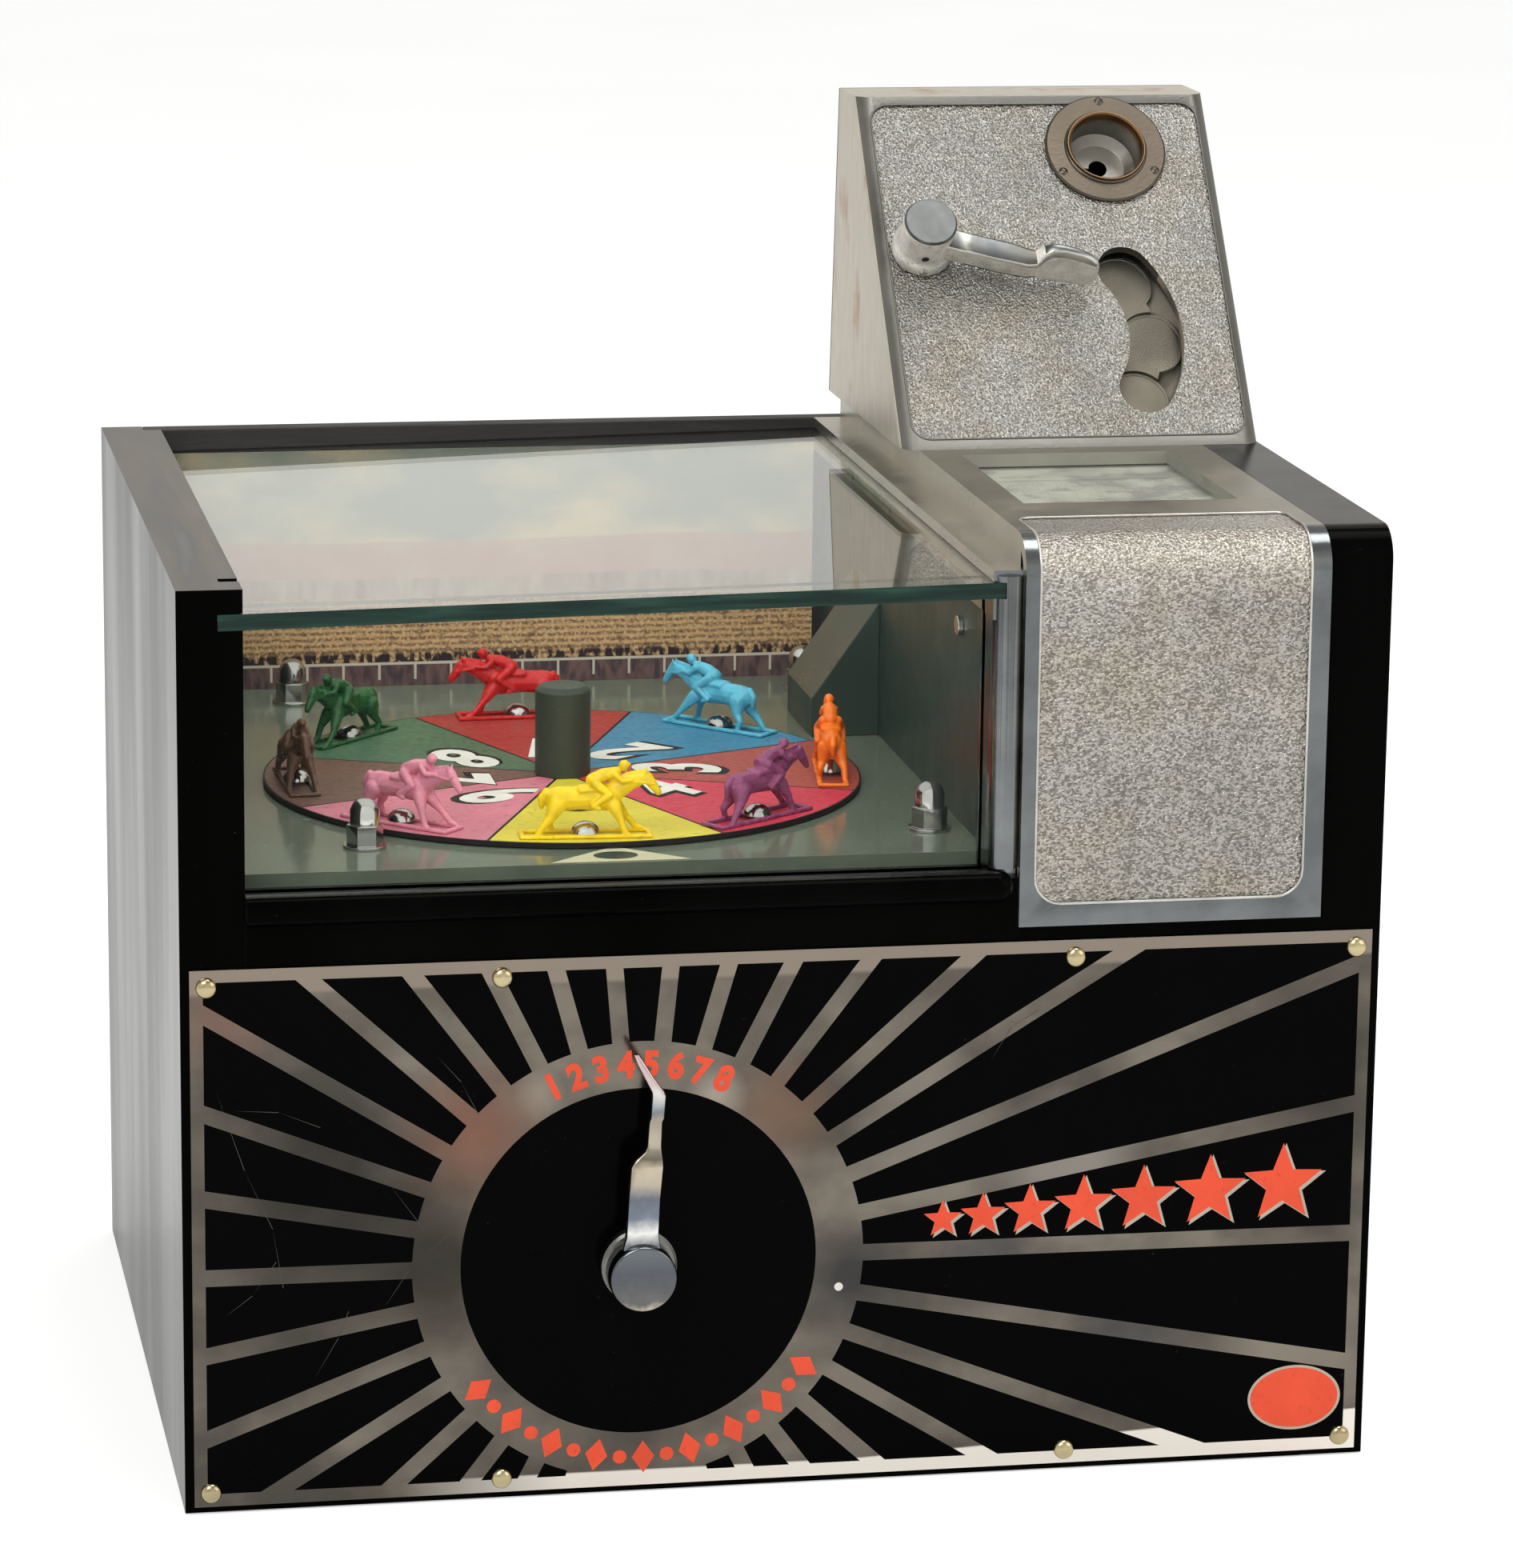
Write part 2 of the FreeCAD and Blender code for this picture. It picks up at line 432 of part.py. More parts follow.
tray = fuse("tray_body",
            box("tray_floor", "win_x0 - lap - tray_t", "win_x1 + lap + tray_t", "win_y0 - lap - tray_t",
                "win_y1 + lap + tray_t", tray_z + " - 1.2", tray_z),
            box("tray_side_l", "win_x0 - lap - tray_t", "win_x0 - lap", "win_y0 - lap - tray_t",
                "win_y1 + lap + tray_t", tray_z, "right_h - cast_wall"),
            box("tray_side_r", "win_x1 + lap", "win_x1 + lap + tray_t", "win_y0 - lap - tray_t",
                "win_y1 + lap + tray_t", tray_z, "right_h - cast_wall"),
            box("tray_side_f", "win_x0 - lap", "win_x1 + lap", "win_y0 - lap - tray_t", "win_y0 - lap", tray_z,
                "right_h - cast_wall"),
            box("tray_side_b", "win_x0 - lap", "win_x1 + lap", "win_y1 + lap", "win_y1 + lap + tray_t", tray_z,
                "right_h - cast_wall"))
node("card_tray", tray)

# Coin head: sloping panel, sides and top cast in one, open below and behind
b_y = "head_y + head_len * sin(lean)"
b_z = "right_h + head_len * cos(lean)"
head_out = prism("head_outer", "YZ_Plane", [
    ("head_y", "right_h"), (b_y, b_z), ("head_back", b_z), ("head_foot", "right_h")], "half_w - head_l")
place(head_out, "head_l", 0, 0)
t_y = "head_y + head_wall / cos(lean)"
head_in = prism("head_inner", "YZ_Plane", [
    (t_y + " - 5 * tan(lean)", "right_h - 5"),
    (t_y + " + (head_len * cos(lean) - head_wall) * tan(lean)", b_z + " - head_wall"),
    ("head_foot + 9", b_z + " - head_wall"), ("head_foot + 9", "right_h - 5")],
    "half_w - head_l - 2 * head_wall")
place(head_in, "head_l + head_wall", 0, 0)
doc.recompute()


def edges_where(shape, test):
    """Numbers of the edges whose ends both pass a test"""
    found = []
    for i, edge in enumerate(shape.Edges, 1):
        if all(test(v.Point) for v in edge.Vertexes):
            found.append(i)
    return found


def on_slope(p):
    return abs((p.y - size("head_y")) * math.cos(math.radians(size("lean")))
               - (p.z - size("right_h")) * math.sin(math.radians(size("lean")))) < 0.01


def rounded(name, shape, radius, *tests):
    """Round the edges that pass any of the tests"""
    result = doc.addObject("Part::Fillet", name)
    result.Base = shape
    found = sorted({i for test in tests for i in edges_where(shape.Shape, test)})
    result.Edges = [(i, radius, radius) for i in found]
    return result


left_x = size("head_l")
right_x = size("half_w")
head_round = rounded("head_rounded", head_out, size("head_round"),
                     lambda p: on_slope(p) and abs(p.x - left_x) < 0.01,
                     lambda p: on_slope(p) and abs(p.x - right_x) < 0.01)


def panel_rod(name, x, v, w0, w1, r):
    bar = make("Cylinder", name, Radius=r, Height="%s - (%s)" % (w1, w0))
    return on_panel(bar, x, v, w0)


def panel_box(name, x0, x1, v0, v1, w0, w1):
    block = make("Box", name, Length="%s - (%s)" % (x1, x0), Width="%s - (%s)" % (v1, v0),
                 Height="%s - (%s)" % (w1, w0))
    return on_panel(block, x0, v0, w0)


def kidney(name, grow, w0, w1):
    """The curved window, with round ends, about the wheel's axis"""
    high = "%s - (%s)" % (w1, w0)
    mid = "(kid_in + kid_out) / 2"
    sector = make("Cylinder", name + "_sector", Radius="kid_out + " + grow, Height=high, Angle="kid_a - kid_b")
    turn(sector, (0, 0, 1), "kid_b")
    core = make("Cylinder", name + "_core", (0, 0, -1), Radius="kid_in - " + grow, Height=high + " + 2")
    ends = [make("Cylinder", name + "_" + tag, (mid + " * cos(%s)" % a, mid + " * sin(%s)" % a, 0),
                 Radius="(kid_out - kid_in) / 2 + " + grow, Height=high)
            for tag, a in (("high", "kid_a"), ("low", "kid_b"))]
    shape = fuse(name, cut(name + "_band", sector, core), *ends)
    return on_panel(shape, "kid_x", "kid_v", w0)


rivet_spots = [("coin_x + rivet_ring * cos(rivet_a + %d)" % a, "coin_v + rivet_ring * sin(rivet_a + %d)" % a)
               for a in (0, 120, 240)]
rivet_holes = fuse("rivet_holes", *[panel_rod("rivet_hole_%d" % i, x, v, "-head_wall - 1", "3", "1")
                                    for i, (x, v) in enumerate(rivet_spots)])
recess = make("Box", "panel_recess_block", ("head_l + head_pad", "head_pad", "-panel_relief"),
              Length="head_w - 2 * head_pad", Width="head_len - head_pad - head_top_pad", Height="panel_relief + 1")
doc.recompute()
recess_round = doc.addObject("Part::Fillet", "panel_recess_rounded")
recess_round.Base = recess
upright = [i for i, edge in enumerate(recess.Shape.Edges, 1) if abs(edge.tangentAt(0).z) > 0.9]
recess_round.Edges = [(i, size("panel_r"), size("panel_r")) for i in upright]
panel_recess = doc.addObject("Part::Compound", "panel_recess")
panel_recess.Links = [recess_round]
on_panel(panel_recess)
panel_cuts = [
    panel_recess,
    panel_rod("bezel_seat", "coin_x", "coin_v", "-panel_relief", "3", "bezel_r + 0.1"),
    panel_rod("cup_hole", "coin_x", "coin_v", "-head_wall - 1", "1", "cup_r"),
    kidney("kidney_hole", "0", "-head_wall - 1", "1"),
    panel_rod("lever_hole", "lever_x", "lever_v", "-head_wall - 1", "1", "bush_r"),
]
node("coin_head", cut("head_shell", head_round, head_in, rivet_holes, *panel_cuts))
cover = prism("cover_sheet", "YZ_Plane", [
    ("head_foot", "right_h"), ("head_back", b_z), ("head_back + cover_t", b_z),
    ("head_foot + cover_t", "right_h")], "half_w - head_l")
node("head_back_cover", place(cover, "head_l", 0, 0))

# Coin entry: bezel, rivets, dished cup
p0 = "-panel_relief"
bezel = turned("bezel_ring", [
    ("coin_r", "0"), ("bezel_r", "0"), ("bezel_r", "1"), ("bezel_r - 0.6", "1.5"), ("rim_r + 0.4", "1.5"),
    ("rim_r", "3"), ("coin_r + 0.5", "3.2"), ("coin_r", "2.7")])
on_panel(bezel, "coin_x", "coin_v", p0)
node("coin_bezel", cut("bezel_cut", bezel, rivet_holes))
rivets = []
for i, (x, v) in enumerate(rivet_spots):
    rivet = turned("rivet_%d" % i, [("0", "-4.6"), ("1", "-4.6"), ("1", "1.5"), ("1.5", "1.5"), ("0", "2.4")])
    rivets.append(on_panel(rivet, x, v, p0))
node("bezel_rivets", group("rivets", *rivets))
cup = turned("cup_tube", [
    ("coin_r", "-panel_relief"), ("cup_r", "-panel_relief"), ("cup_r", "-cup_deep"), ("3", "-cup_deep"),
    ("3", "-cup_deep + 0.9"), ("coin_r - 3", "-cup_deep + 0.9"), ("coin_r", "-cup_deep + 3.5")])
on_panel(cup, "coin_x", "coin_v", "0")
cup_exit = panel_box("cup_exit", "coin_x - 11.3", "coin_x + 11.3", "coin_v - cup_r - 2", "coin_v - 2",
                     "wheel_w - 0.2", "wheel_w + 2.8")
cup_hole = panel_rod("cup_floor_hole", "coin_x - 4", "coin_v - 4", "-cup_deep - 1", "-cup_deep + 3", "4.2")
node("coin_cup", cut("cup_cut", cup, cup_exit, cup_hole))

# Coin wheel behind the kidney window
node("kidney_glass", kidney("kidney_pane", "3", "-head_wall - 2", "-head_wall"))
track_top = "wheel_w - 0.05"
track_room = panel_rod("track_room", "wheel_x", "wheel_v", track_top, "0", "track_r - 0.9")
rim_top = "-head_wall - 2.2"
rails = cut("chute_rails",
            panel_box("chute_out", "coin_x - 12.5", "coin_x + 12.5", "wheel_v + 18", "coin_v - cup_r - 0.3",
                      track_top + " - track_t", rim_top),
            panel_box("chute_in", "coin_x - 11.3", "coin_x + 11.3", "wheel_v", "coin_v", track_top, "0"))
track = cut("track_body",
            fuse("track_solid",
                 panel_rod("track_disc", "wheel_x", "wheel_v", track_top + " - track_t", rim_top, "track_r"),
                 rails),
            track_room,
            panel_box("track_exit", "wheel_x - 12", "wheel_x + 12", "wheel_v - track_r - 2",
                      "wheel_v - track_r + 6", track_top, "0"),
            panel_box("track_entry", "coin_x - 11.3", "coin_x + 11.3", "wheel_v + 18", "wheel_v + track_r + 1",
                      track_top, "0"),
            panel_rod("track_bore", "wheel_x", "wheel_v", track_top + " - 9", "0", "5"))
node("coin_track", track)
notches = fuse("wheel_notches", *[
    make("Cylinder", "notch_%d" % i, ("pitch_r * cos(%d)" % (40 * i), "pitch_r * sin(%d)" % (40 * i), -1),
         Radius="token_r + 0.2", Height="wheel_t + 2") for i in range(9)])
wheel = cut("wheel_body", make("Cylinder", "wheel_disc", Radius="wheel_r", Height="wheel_t"), notches,
            make("Cylinder", "wheel_bore", (0, 0, -1), Radius="3", Height="wheel_t + 2"))
node("coin_wheel", on_panel(wheel, "wheel_x", "wheel_v", "wheel_w"))
tokens = []
for i, a in enumerate((40, 0, -40, 80)):
    token = turned("token_%d" % i, [
        ("0", "0"), ("token_r", "0"), ("token_r", "token_t"), ("token_r - 0.9", "token_t"),
        ("token_r - 0.9", "token_t - 0.25"), ("0", "token_t - 0.25")])
    tokens.append(on_panel(token, "wheel_x + pitch_r * cos(%d)" % a, "wheel_v + pitch_r * sin(%d)" % a,
                           track_top))
node("coins", group("coin_set", *tokens))
wheel_shaft = panel_rod("wheel_shaft_bar", "wheel_x", "wheel_v", "wheel_w - 16", "wheel_w + wheel_t", "3")
node("wheel_shaft", wheel_shaft)
wheel_bush = cut("wheel_bush_cut",
                 fuse("wheel_bush_body",
                      panel_rod("wheel_bush_tube", "wheel_x", "wheel_v", "wheel_w - 9", track_top, "5"),
                      panel_rod("wheel_bush_flange", "wheel_x", "wheel_v", "wheel_w - 5",
                                track_top + " - track_t", "9")),
                 panel_rod("wheel_bush_bore", "wheel_x", "wheel_v", "wheel_w - 19", "0", "3 + run"))

# Play lever with its shaft through the panel
lever_bore = make("Cylinder", "lever_bore", (0, 0, -1), Radius="shaft_r", Height="lever_top - 3")
lever_grub_hole = make("Cylinder", "lever_grub_hole", (0, 0, "3.2"), Radius="1.3", Height="lever_flange + 2")
lever_grub_hole.Placement.Rotation = FreeCAD.Rotation(V(1, 0, 0), 90)
lever_hub = turned("lever_hub", [
    ("0", "0.3"), ("lever_flange", "0.3"), ("lever_flange", "5"), ("lever_knob + 0.5", "6"),
    ("lever_knob", "6.5"), ("lever_knob", "lever_top - 0.8"), ("lever_knob - 0.8", "lever_top"),
    ("0", "lever_top")])
arm = prism("lever_arm", "XZ_Plane", [
    ("0", "7"), ("lever_len * 0.3", "8"), ("lever_len * 0.64", "8"), ("lever_len", "9"), ("lever_len", "13.5"),
    ("lever_len * 0.8", "16.5"), ("lever_len * 0.62", "15"), ("lever_len * 0.54", "12"),
    ("lever_len * 0.3", "12.5"), ("0", "14")], "arm_w")
place(arm, 0, "arm_w / 2", 0)
arm_turned = doc.addObject("Part::Compound", "arm_turned")
arm_turned.Links = [arm]
turn(arm_turned, (0, 0, 1), "lever_rest")
lever = cut("lever_body", fuse("lever_solid", lever_hub, arm_turned), lever_bore, lever_grub_hole)
node("play_lever", on_panel(lever, "lever_x", "lever_v", p0))
lever_grub = make("Cylinder", "lever_grub", Radius="1.3", Height="lever_flange - shaft_r - 0.3")
node("lever_set_screw", lever_grub)
turn(lever_grub, (1, 0, 0), "180 - lean")
place(lever_grub, "lever_x", "head_y + (lever_v - shaft_r) * sin(lean) - (3.2 - panel_relief) * cos(lean)",
      "right_h + (lever_v - shaft_r) * cos(lean) + (3.2 - panel_relief) * sin(lean)")
node("lever_shaft", panel_rod("lever_rod", "lever_x", "lever_v", "-44", "lever_top - 4 - panel_relief",
                              "shaft_r"))
lever_bush = cut("lever_bush_cut",
                 fuse("lever_bush_body",
                      panel_rod("lever_bush_tube", "lever_x", "lever_v", "-head_wall - 2", p0, "bush_r"),
                      panel_rod("lever_bush_flange", "lever_x", "lever_v", "-head_wall - 2", "-head_wall",
                                "9.5")),
                 panel_rod("lever_bush_bore", "lever_x", "lever_v", "-20", "1", "shaft_r + run"))
node("panel_bushes", group("panel_bush_set", wheel_bush, lever_bush))
crank = cut("crank_body",
            fuse("crank_solid", make("Cylinder", "crank_boss", Radius="8", Height="8"),
                 make("Box", "crank_arm", (0, "-4", 0), Length="crank_l", Width="8", Height="4"),
                 make("Cylinder", "crank_end", ("crank_l", 0, 0), Radius="4", Height="4")),
            make("Cylinder", "crank_bore", (0, 0, -1), Radius="shaft_r", Height="12"),
            make("Cylinder", "crank_pin_hole", ("crank_l", 0, -1), Radius="2", Height="12"))
node("lever_crank", on_panel(crank, "lever_x", "lever_v", "-28"))

# Carousel: floor disc, post, spindle and bearings
HORSES = (("red", 91.5), ("light_blue", 44), ("orange", -8), ("purple", -54), ("yellow", -94),
          ("pink", -134), ("brown", -178), ("green", 136))
disc = rod("disc_blank", "disc_x", "disc_y", "disc_z", "disc_top", "disc_r")
node("carousel_disc", cut("disc_cut", disc,
                          rod("disc_bore", "disc_x", "disc_y", "disc_z - 1", "disc_top + 1", "spindle_r"),
                          *[rod("disc_tap_" + colour, "disc_x + horse_ring * cos(%g)" % a,
                                "disc_y + horse_ring * sin(%g)" % a, "disc_z - 1", "disc_top + 1", "1.2")
                            for colour, a in HORSES]))
post = turned("post_body", [
    ("spindle_r", "0"), ("post_r", "0"), ("post_r", "post_h - 1.5"), ("post_r - 1.5", "post_h"), ("0", "post_h"),
    ("0", "post_h - 6"), ("spindle_r", "post_h - 6")])
node("centre_post", place(post, "disc_x", "disc_y", "disc_top"))
spindle = fuse("spindle_body",
               rod("spindle_bar", "disc_x", "disc_y", "chassis_z - 8", "disc_top + post_h - 6", "spindle_r"),
               rod("spindle_step", "disc_x", "disc_y", "deck_top + 0.2", "disc_z", "spindle_r + 1.5"))
node("spindle", spindle)
upper_bearing = cut("upper_bearing_cut",
                    fuse("upper_bearing_body",
                         rod("upper_tube", "disc_x", "disc_y", "deck_z - 4", "deck_top", "bush_r"),
                         rod("upper_flange", "disc_x", "disc_y", "deck_z - 2.5", "deck_z", "bush_r + 5")),
                    rod("upper_bore", "disc_x", "disc_y", "deck_z - 9", "deck_top + 1", "spindle_r + run"))
lower_bearing = cut("lower_bearing_cut",
                    fuse("lower_bearing_body",
                         rod("lower_tube", "disc_x", "disc_y", "chassis_z - 4", "chassis_z + chassis_t + 4",
                             "bush_r"),
                         rod("lower_flange", "disc_x", "disc_y", "chassis_z + chassis_t",
                             "chassis_z + chassis_t + 2", "bush_r + 5")),
                    rod("lower_bore", "disc_x", "disc_y", "chassis_z - 9", "chassis_z + 19", "spindle_r + run"))
node("spindle_bearings", group("bearing_set", upper_bearing, lower_bearing))

# Eight horses with riders, each cast in one with an open frame that a screw holds to the disc


def scaled(points):
    """Points of the figure, drawn for a rider's cap that is 23 above the disc"""
    return [("%g * unit" % a, "%g * unit" % b) for a, b in points]


def layer(name, y0, y1, points):
    """A slice of the figure: an outline of X to the front and Z up, from y0 to y1 across"""
    return place(prism(name, "XZ_Plane", scaled(points), "%g * unit" % (y1 - y0)), 0, "%g * unit" % y1, 0)


body_side = layer("horse_side", -3.7, 3.7, [
    (-12.6, 12.2), (-11.6, 14.2), (-9, 15.3), (1, 15.2), (6, 16.4), (10, 18), (14.5, 19.2), (18.6, 20.2),
    (19.8, 18.8), (22.6, 12.8), (21.4, 11.9), (17.4, 14.6), (14.6, 14.4), (12.2, 12.8), (12, 10.4), (10.4, 8),
    (4, 7.4), (-7, 8.2), (-11.6, 8.6)])
half_plan = [(-12.8, 1.8), (-9, 3.5), (6, 3.7), (11, 2.8), (15, 1.9), (22.7, 1)]
body_plan = prism("horse_plan", "XY_Plane", scaled(half_plan + [(x, -y) for x, y in reversed(half_plan)]),
                  "25 * unit")
figure = [
    common("horse_body", body_side, body_plan),
    layer("horse_tail", -0.9, 0.9, [(-12, 13.8), (-13.4, 13.6), (-14, 11), (-13.4, 8.4), (-12, 8.6)]),
    layer("fore_leg_right", -4.4, -2.4, [(6, 9.5), (11, 9), (11.4, 5.6), (13.2, 0.8), (10.6, 0.8), (9.6, 5)]),
    layer("fore_leg_left", 2.4, 4.4, [(6.4, 9.5), (11, 9), (13.4, 5.2), (16.2, 1.8), (18, 0.8), (14.8, 0.8),
                                      (11.4, 4.4)]),
    layer("hind_leg_right", -4.4, -2.4, [(-12, 11), (-5, 9), (-11.4, 4.4), (-13.2, 0.8), (-15.8, 0.8),
                                         (-13.8, 4.6)]),
    layer("hind_leg_left", 2.4, 4.4, [(-12, 11), (-5, 9), (-9.6, 4), (-8.4, 0.8), (-10.8, 0.8), (-12, 4)]),
    layer("rider_body", -1.9, 1.9, [
        (-0.2, 15), (0, 18.4), (2, 19.6), (8, 20.6), (9.8, 21.2), (10, 22.6), (11.2, 23), (12.8, 22.4),
        (13.2, 20.6), (10.4, 19), (14, 17.6), (13.6, 16.2), (8, 16)]),
    *[layer("rider_leg_" + tag, y, y + 1.8, [(0.6, 17), (4, 17.4), (7.8, 13.6), (7.4, 12.2), (4, 12.4),
                                             (3.6, 9.6), (0.8, 9.4)])
      for tag, y in (("right", -4.6), ("left", 2.8))],
    cut("horse_frame",
        box("frame_plate", "-frame_l / 2", "frame_l / 2", "-frame_w / 2", "frame_w / 2", "0", "frame_t"),
        box("frame_opening", "frame_bar - frame_l / 2", "frame_l / 2 - frame_bar", "frame_bar - frame_w / 2",
            "frame_w / 2 - frame_bar", "-1", "frame_t + 1")),
]
master = fuse("horse_figure", *figure)
horse_screw = turned("horse_screw", [
    ("0", "-disc_t"), ("1.2", "-disc_t"), ("1.2", "frame_t"), ("dome_r", "frame_t"),
    ("dome_r * 0.6", "frame_t + dome_h"), ("0", "frame_t + dome_h")])
horses = []
horse_screws = []
for colour, angle in HORSES:
    for kind, piece, pieces in (("horse_", master, horses), ("screw_", horse_screw, horse_screws)):
        copy = doc.addObject("Part::Compound", kind + colour)
        copy.Links = [piece]
        turn(copy, (0, 0, 1), "%g" % (angle + 90))
        place(copy, "disc_x + horse_ring * cos(%g)" % angle, "disc_y + horse_ring * sin(%g)" % angle, "disc_top")
        pieces.append(copy)
node("horses", group("horse_set", *horses))
node("horse_screws", group("horse_screw_set", *horse_screws))

# Mechanism plate hung from the deck by studs that end in acorn nuts
nuts = []
pillars = []
for i, (x, y) in enumerate(stud_spots):
    hexagon = make("Prism", "nut_hex_%d" % i, (x, y, "deck_top + 1"), Circumradius="nut_af / 2 / cos(30)",
                   Height="6")
    hexagon.Polygon = 6
    dome = turned("nut_dome_%d" % i, [
        ("0", "6"), ("4.4", "6"), ("4.4", "11.4"), ("3.3", "13.6"), ("1.6", "14.6"), ("0", "14.7")])
    crown = fuse("nut_body_%d" % i, rod("nut_washer_%d" % i, x, y, "deck_top", "deck_top + 1", "6.5"), hexagon,
                 place(dome, x, y, "deck_top"))
    nuts.append(cut("nut_%d" % i, crown, rod("nut_bore_%d" % i, x, y, "deck_top - 1", "deck_top + 9", "stud_r")))
    pillars.append(fuse("pillar_%d" % i, rod("stud_%d" % i, x, y, "chassis_z - 5", "deck_top + 9", "stud_r"),
                        rod("spacer_%d" % i, x, y, "chassis_z + chassis_t", "deck_z", "pillar_r")))
node("acorn_nuts", group("nut_set", *nuts))
node("chassis_pillars", group("pillar_set", *pillars))
chassis = box("chassis_blank", "nut_x0 - 9", "nut_x1 + 9", "nut_y0 - 9", "nut_y1 + 9", "chassis_z",
              "chassis_z + chassis_t")
node("chassis_plate", cut("chassis_cut", chassis, stud_holes,
                          rod("chassis_bore", "disc_x", "disc_y", "chassis_z - 1", "chassis_z + 9", "bush_r")))

# Down chute and coin box
duct = cut("duct_tube",
           fuse("duct_outer",
                box("duct_out", "duct_x - duct_w / 2", "duct_x + duct_w / 2", "duct_y - duct_d / 2",
                    "duct_y + duct_d / 2", "duct_z", "duct_top"),
                box("duct_flange", "duct_x - duct_w / 2 - 6", "duct_x + duct_w / 2 + 6", "duct_y - duct_d / 2 - 6",
                    "duct_y + duct_d / 2 + 6", "deck_top", "deck_top + 1.2")),
           box("duct_in", "duct_x - duct_w / 2 + sheet_t", "duct_x + duct_w / 2 - sheet_t",
               "duct_y - duct_d / 2 + sheet_t", "duct_y + duct_d / 2 - sheet_t", "duct_z - 1", "duct_top + 1"))
node("coin_down_chute", duct)
coin_box = cut("coin_box_cut",
               box("coin_box_out", "box_l", "box_r", "box_y0", "box_y1", "base_t", "base_t + box_h"),
               box("coin_box_in", "box_l + sheet_t", "box_r - sheet_t", "box_y0 + sheet_t", "box_y1 - sheet_t",
                   "base_t + sheet_t", "base_t + box_h + 1"))
node("coin_box", coin_box)

# Back door on two hinges, with a turning catch
door_x0 = "-inner - rebate + door_gap"
door_x1 = "inner + rebate - door_gap"
door = box("door_blank", door_x0, door_x1, "back_y", "half_d", "base_t + door_gap", "door_top - door_gap")
door_hole = rod_y("door_hole", "lock_x", "back_y - 5", "half_d + 5", "lock_z", "lock_r")
node("back_door", cut("door_cut", door, door_hole))
axis_x = "-inner - rebate"
axis_y = "half_d + 2.6"
fixed_leaves = []
moving_leaves = []
pins = []
for i, z in enumerate(("hinge_low", "hinge_high")):
    fixed = fuse("fixed_leaf_%d" % i,
                 box("fixed_plate_%d" % i, "-half_w + 2", axis_x + " - 1", "half_d", "half_d + 1.4", z,
                     z + " + hinge_h"),
                 rod("fixed_low_%d" % i, axis_x, axis_y, z, z + " + 7.9", "hinge_r"),
                 rod("fixed_high_%d" % i, axis_x, axis_y, z + " + 16.1", z + " + hinge_h", "hinge_r"))
    slot_cut = box("fixed_slot_%d" % i, axis_x + " - 3", axis_x + " + 3", "half_d - 1", "half_d + 8",
                   z + " + 7.9", z + " + 16.1")
    fixed_leaves.append(cut("hinge_fixed_%d" % i, fixed, slot_cut,
                            rod("fixed_bore_%d" % i, axis_x, axis_y, z + " - 1", z + " + hinge_h + 1", "1.2")))
    moving = fuse("moving_leaf_%d" % i,
                  box("moving_plate_%d" % i, axis_x + " + 3.2", axis_x + " + 17", "half_d", "half_d + 1.4", z,
                      z + " + hinge_h"),
                  box("moving_neck_%d" % i, axis_x + " + 1", axis_x + " + 4", "half_d", "half_d + 1.4", z + " + 8",
                      z + " + 16"),
                  rod("moving_knuckle_%d" % i, axis_x, axis_y, z + " + 8", z + " + 16", "hinge_r"))
    moving_leaves.append(cut("hinge_moving_%d" % i, moving,
                             rod("moving_bore_%d" % i, axis_x, axis_y, z + " - 1", z + " + hinge_h + 1",
                                 "1.2 + run")))
    pins.append(rod("pin_%d" % i, axis_x, axis_y, z, z + " + hinge_h", "1.2"))
node("hinge_fixed_leaves", group("fixed_set", *fixed_leaves, *pins))
node("hinge_moving_leaves", group("moving_set", *moving_leaves))
lock_body = cut("lock_case",
                fuse("lock_case_solid",
                     rod_y("lock_barrel", "lock_x", "back_y - 4", "half_d", "lock_z", "lock_r"),
                     rod_y("lock_face", "lock_x", "half_d", "half_d + 2", "lock_z", "lock_r + 3"),
                     rod_y("lock_nut", "lock_x", "back_y - 3", "back_y", "lock_z", "lock_r + 3")),
                rod_y("lock_core_hole", "lock_x", "back_y - 9", "half_d + 9", "lock_z", "3.5 + run"))
node("lock_case", lock_body)
lock_core = fuse("lock_core_body",
                 rod_y("lock_core", "lock_x", "back_y - 7", "half_d + 2.2", "lock_z", "3.5"),
                 box("lock_cam", "lock_x - 5", "lock_x + 5", "back_y - 7", "back_y - 5", "lock_z - 5",
                     "lock_z + 18.5"))
key_way = box("key_way", "lock_x - 0.7", "lock_x + 0.7", "half_d - 1", "half_d + 5", "lock_z - 2.2",
              "lock_z + 2.2")
node("lock_cam", cut("lock_core_cut", lock_core, key_way))
node("lock_keeper", box("keeper_bar", "inner - 8", "inner", "back_y - 4.7", "back_y - 0.7", "lock_z - 12",
                        "lock_z + 12"))

# Check every object and write one file for each piece
doc.recompute()
faults = []
for thing in doc.Objects:
    if "Invalid" in thing.State or "Error" in thing.State:
        faults.append("%s is %s" % (thing.Name, thing.State))
for name, thing in NODES.items():
    shape = thing.Shape
    if shape.isNull() or not shape.isValid() or not shape.Solids:
        faults.append("%s has no sound shape" % name)
if faults:
    raise SystemExit("\n".join(faults))
for old in os.listdir("parts"):
    if old.endswith(".step"):
        os.remove(os.path.join("parts", old))
for name, thing in NODES.items():
    thing.Shape.exportStep("parts/%s.step" % name)
print("%d pieces" % len(NODES))
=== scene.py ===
import bmesh
import bpy
import math
from mathutils import Matrix, Vector


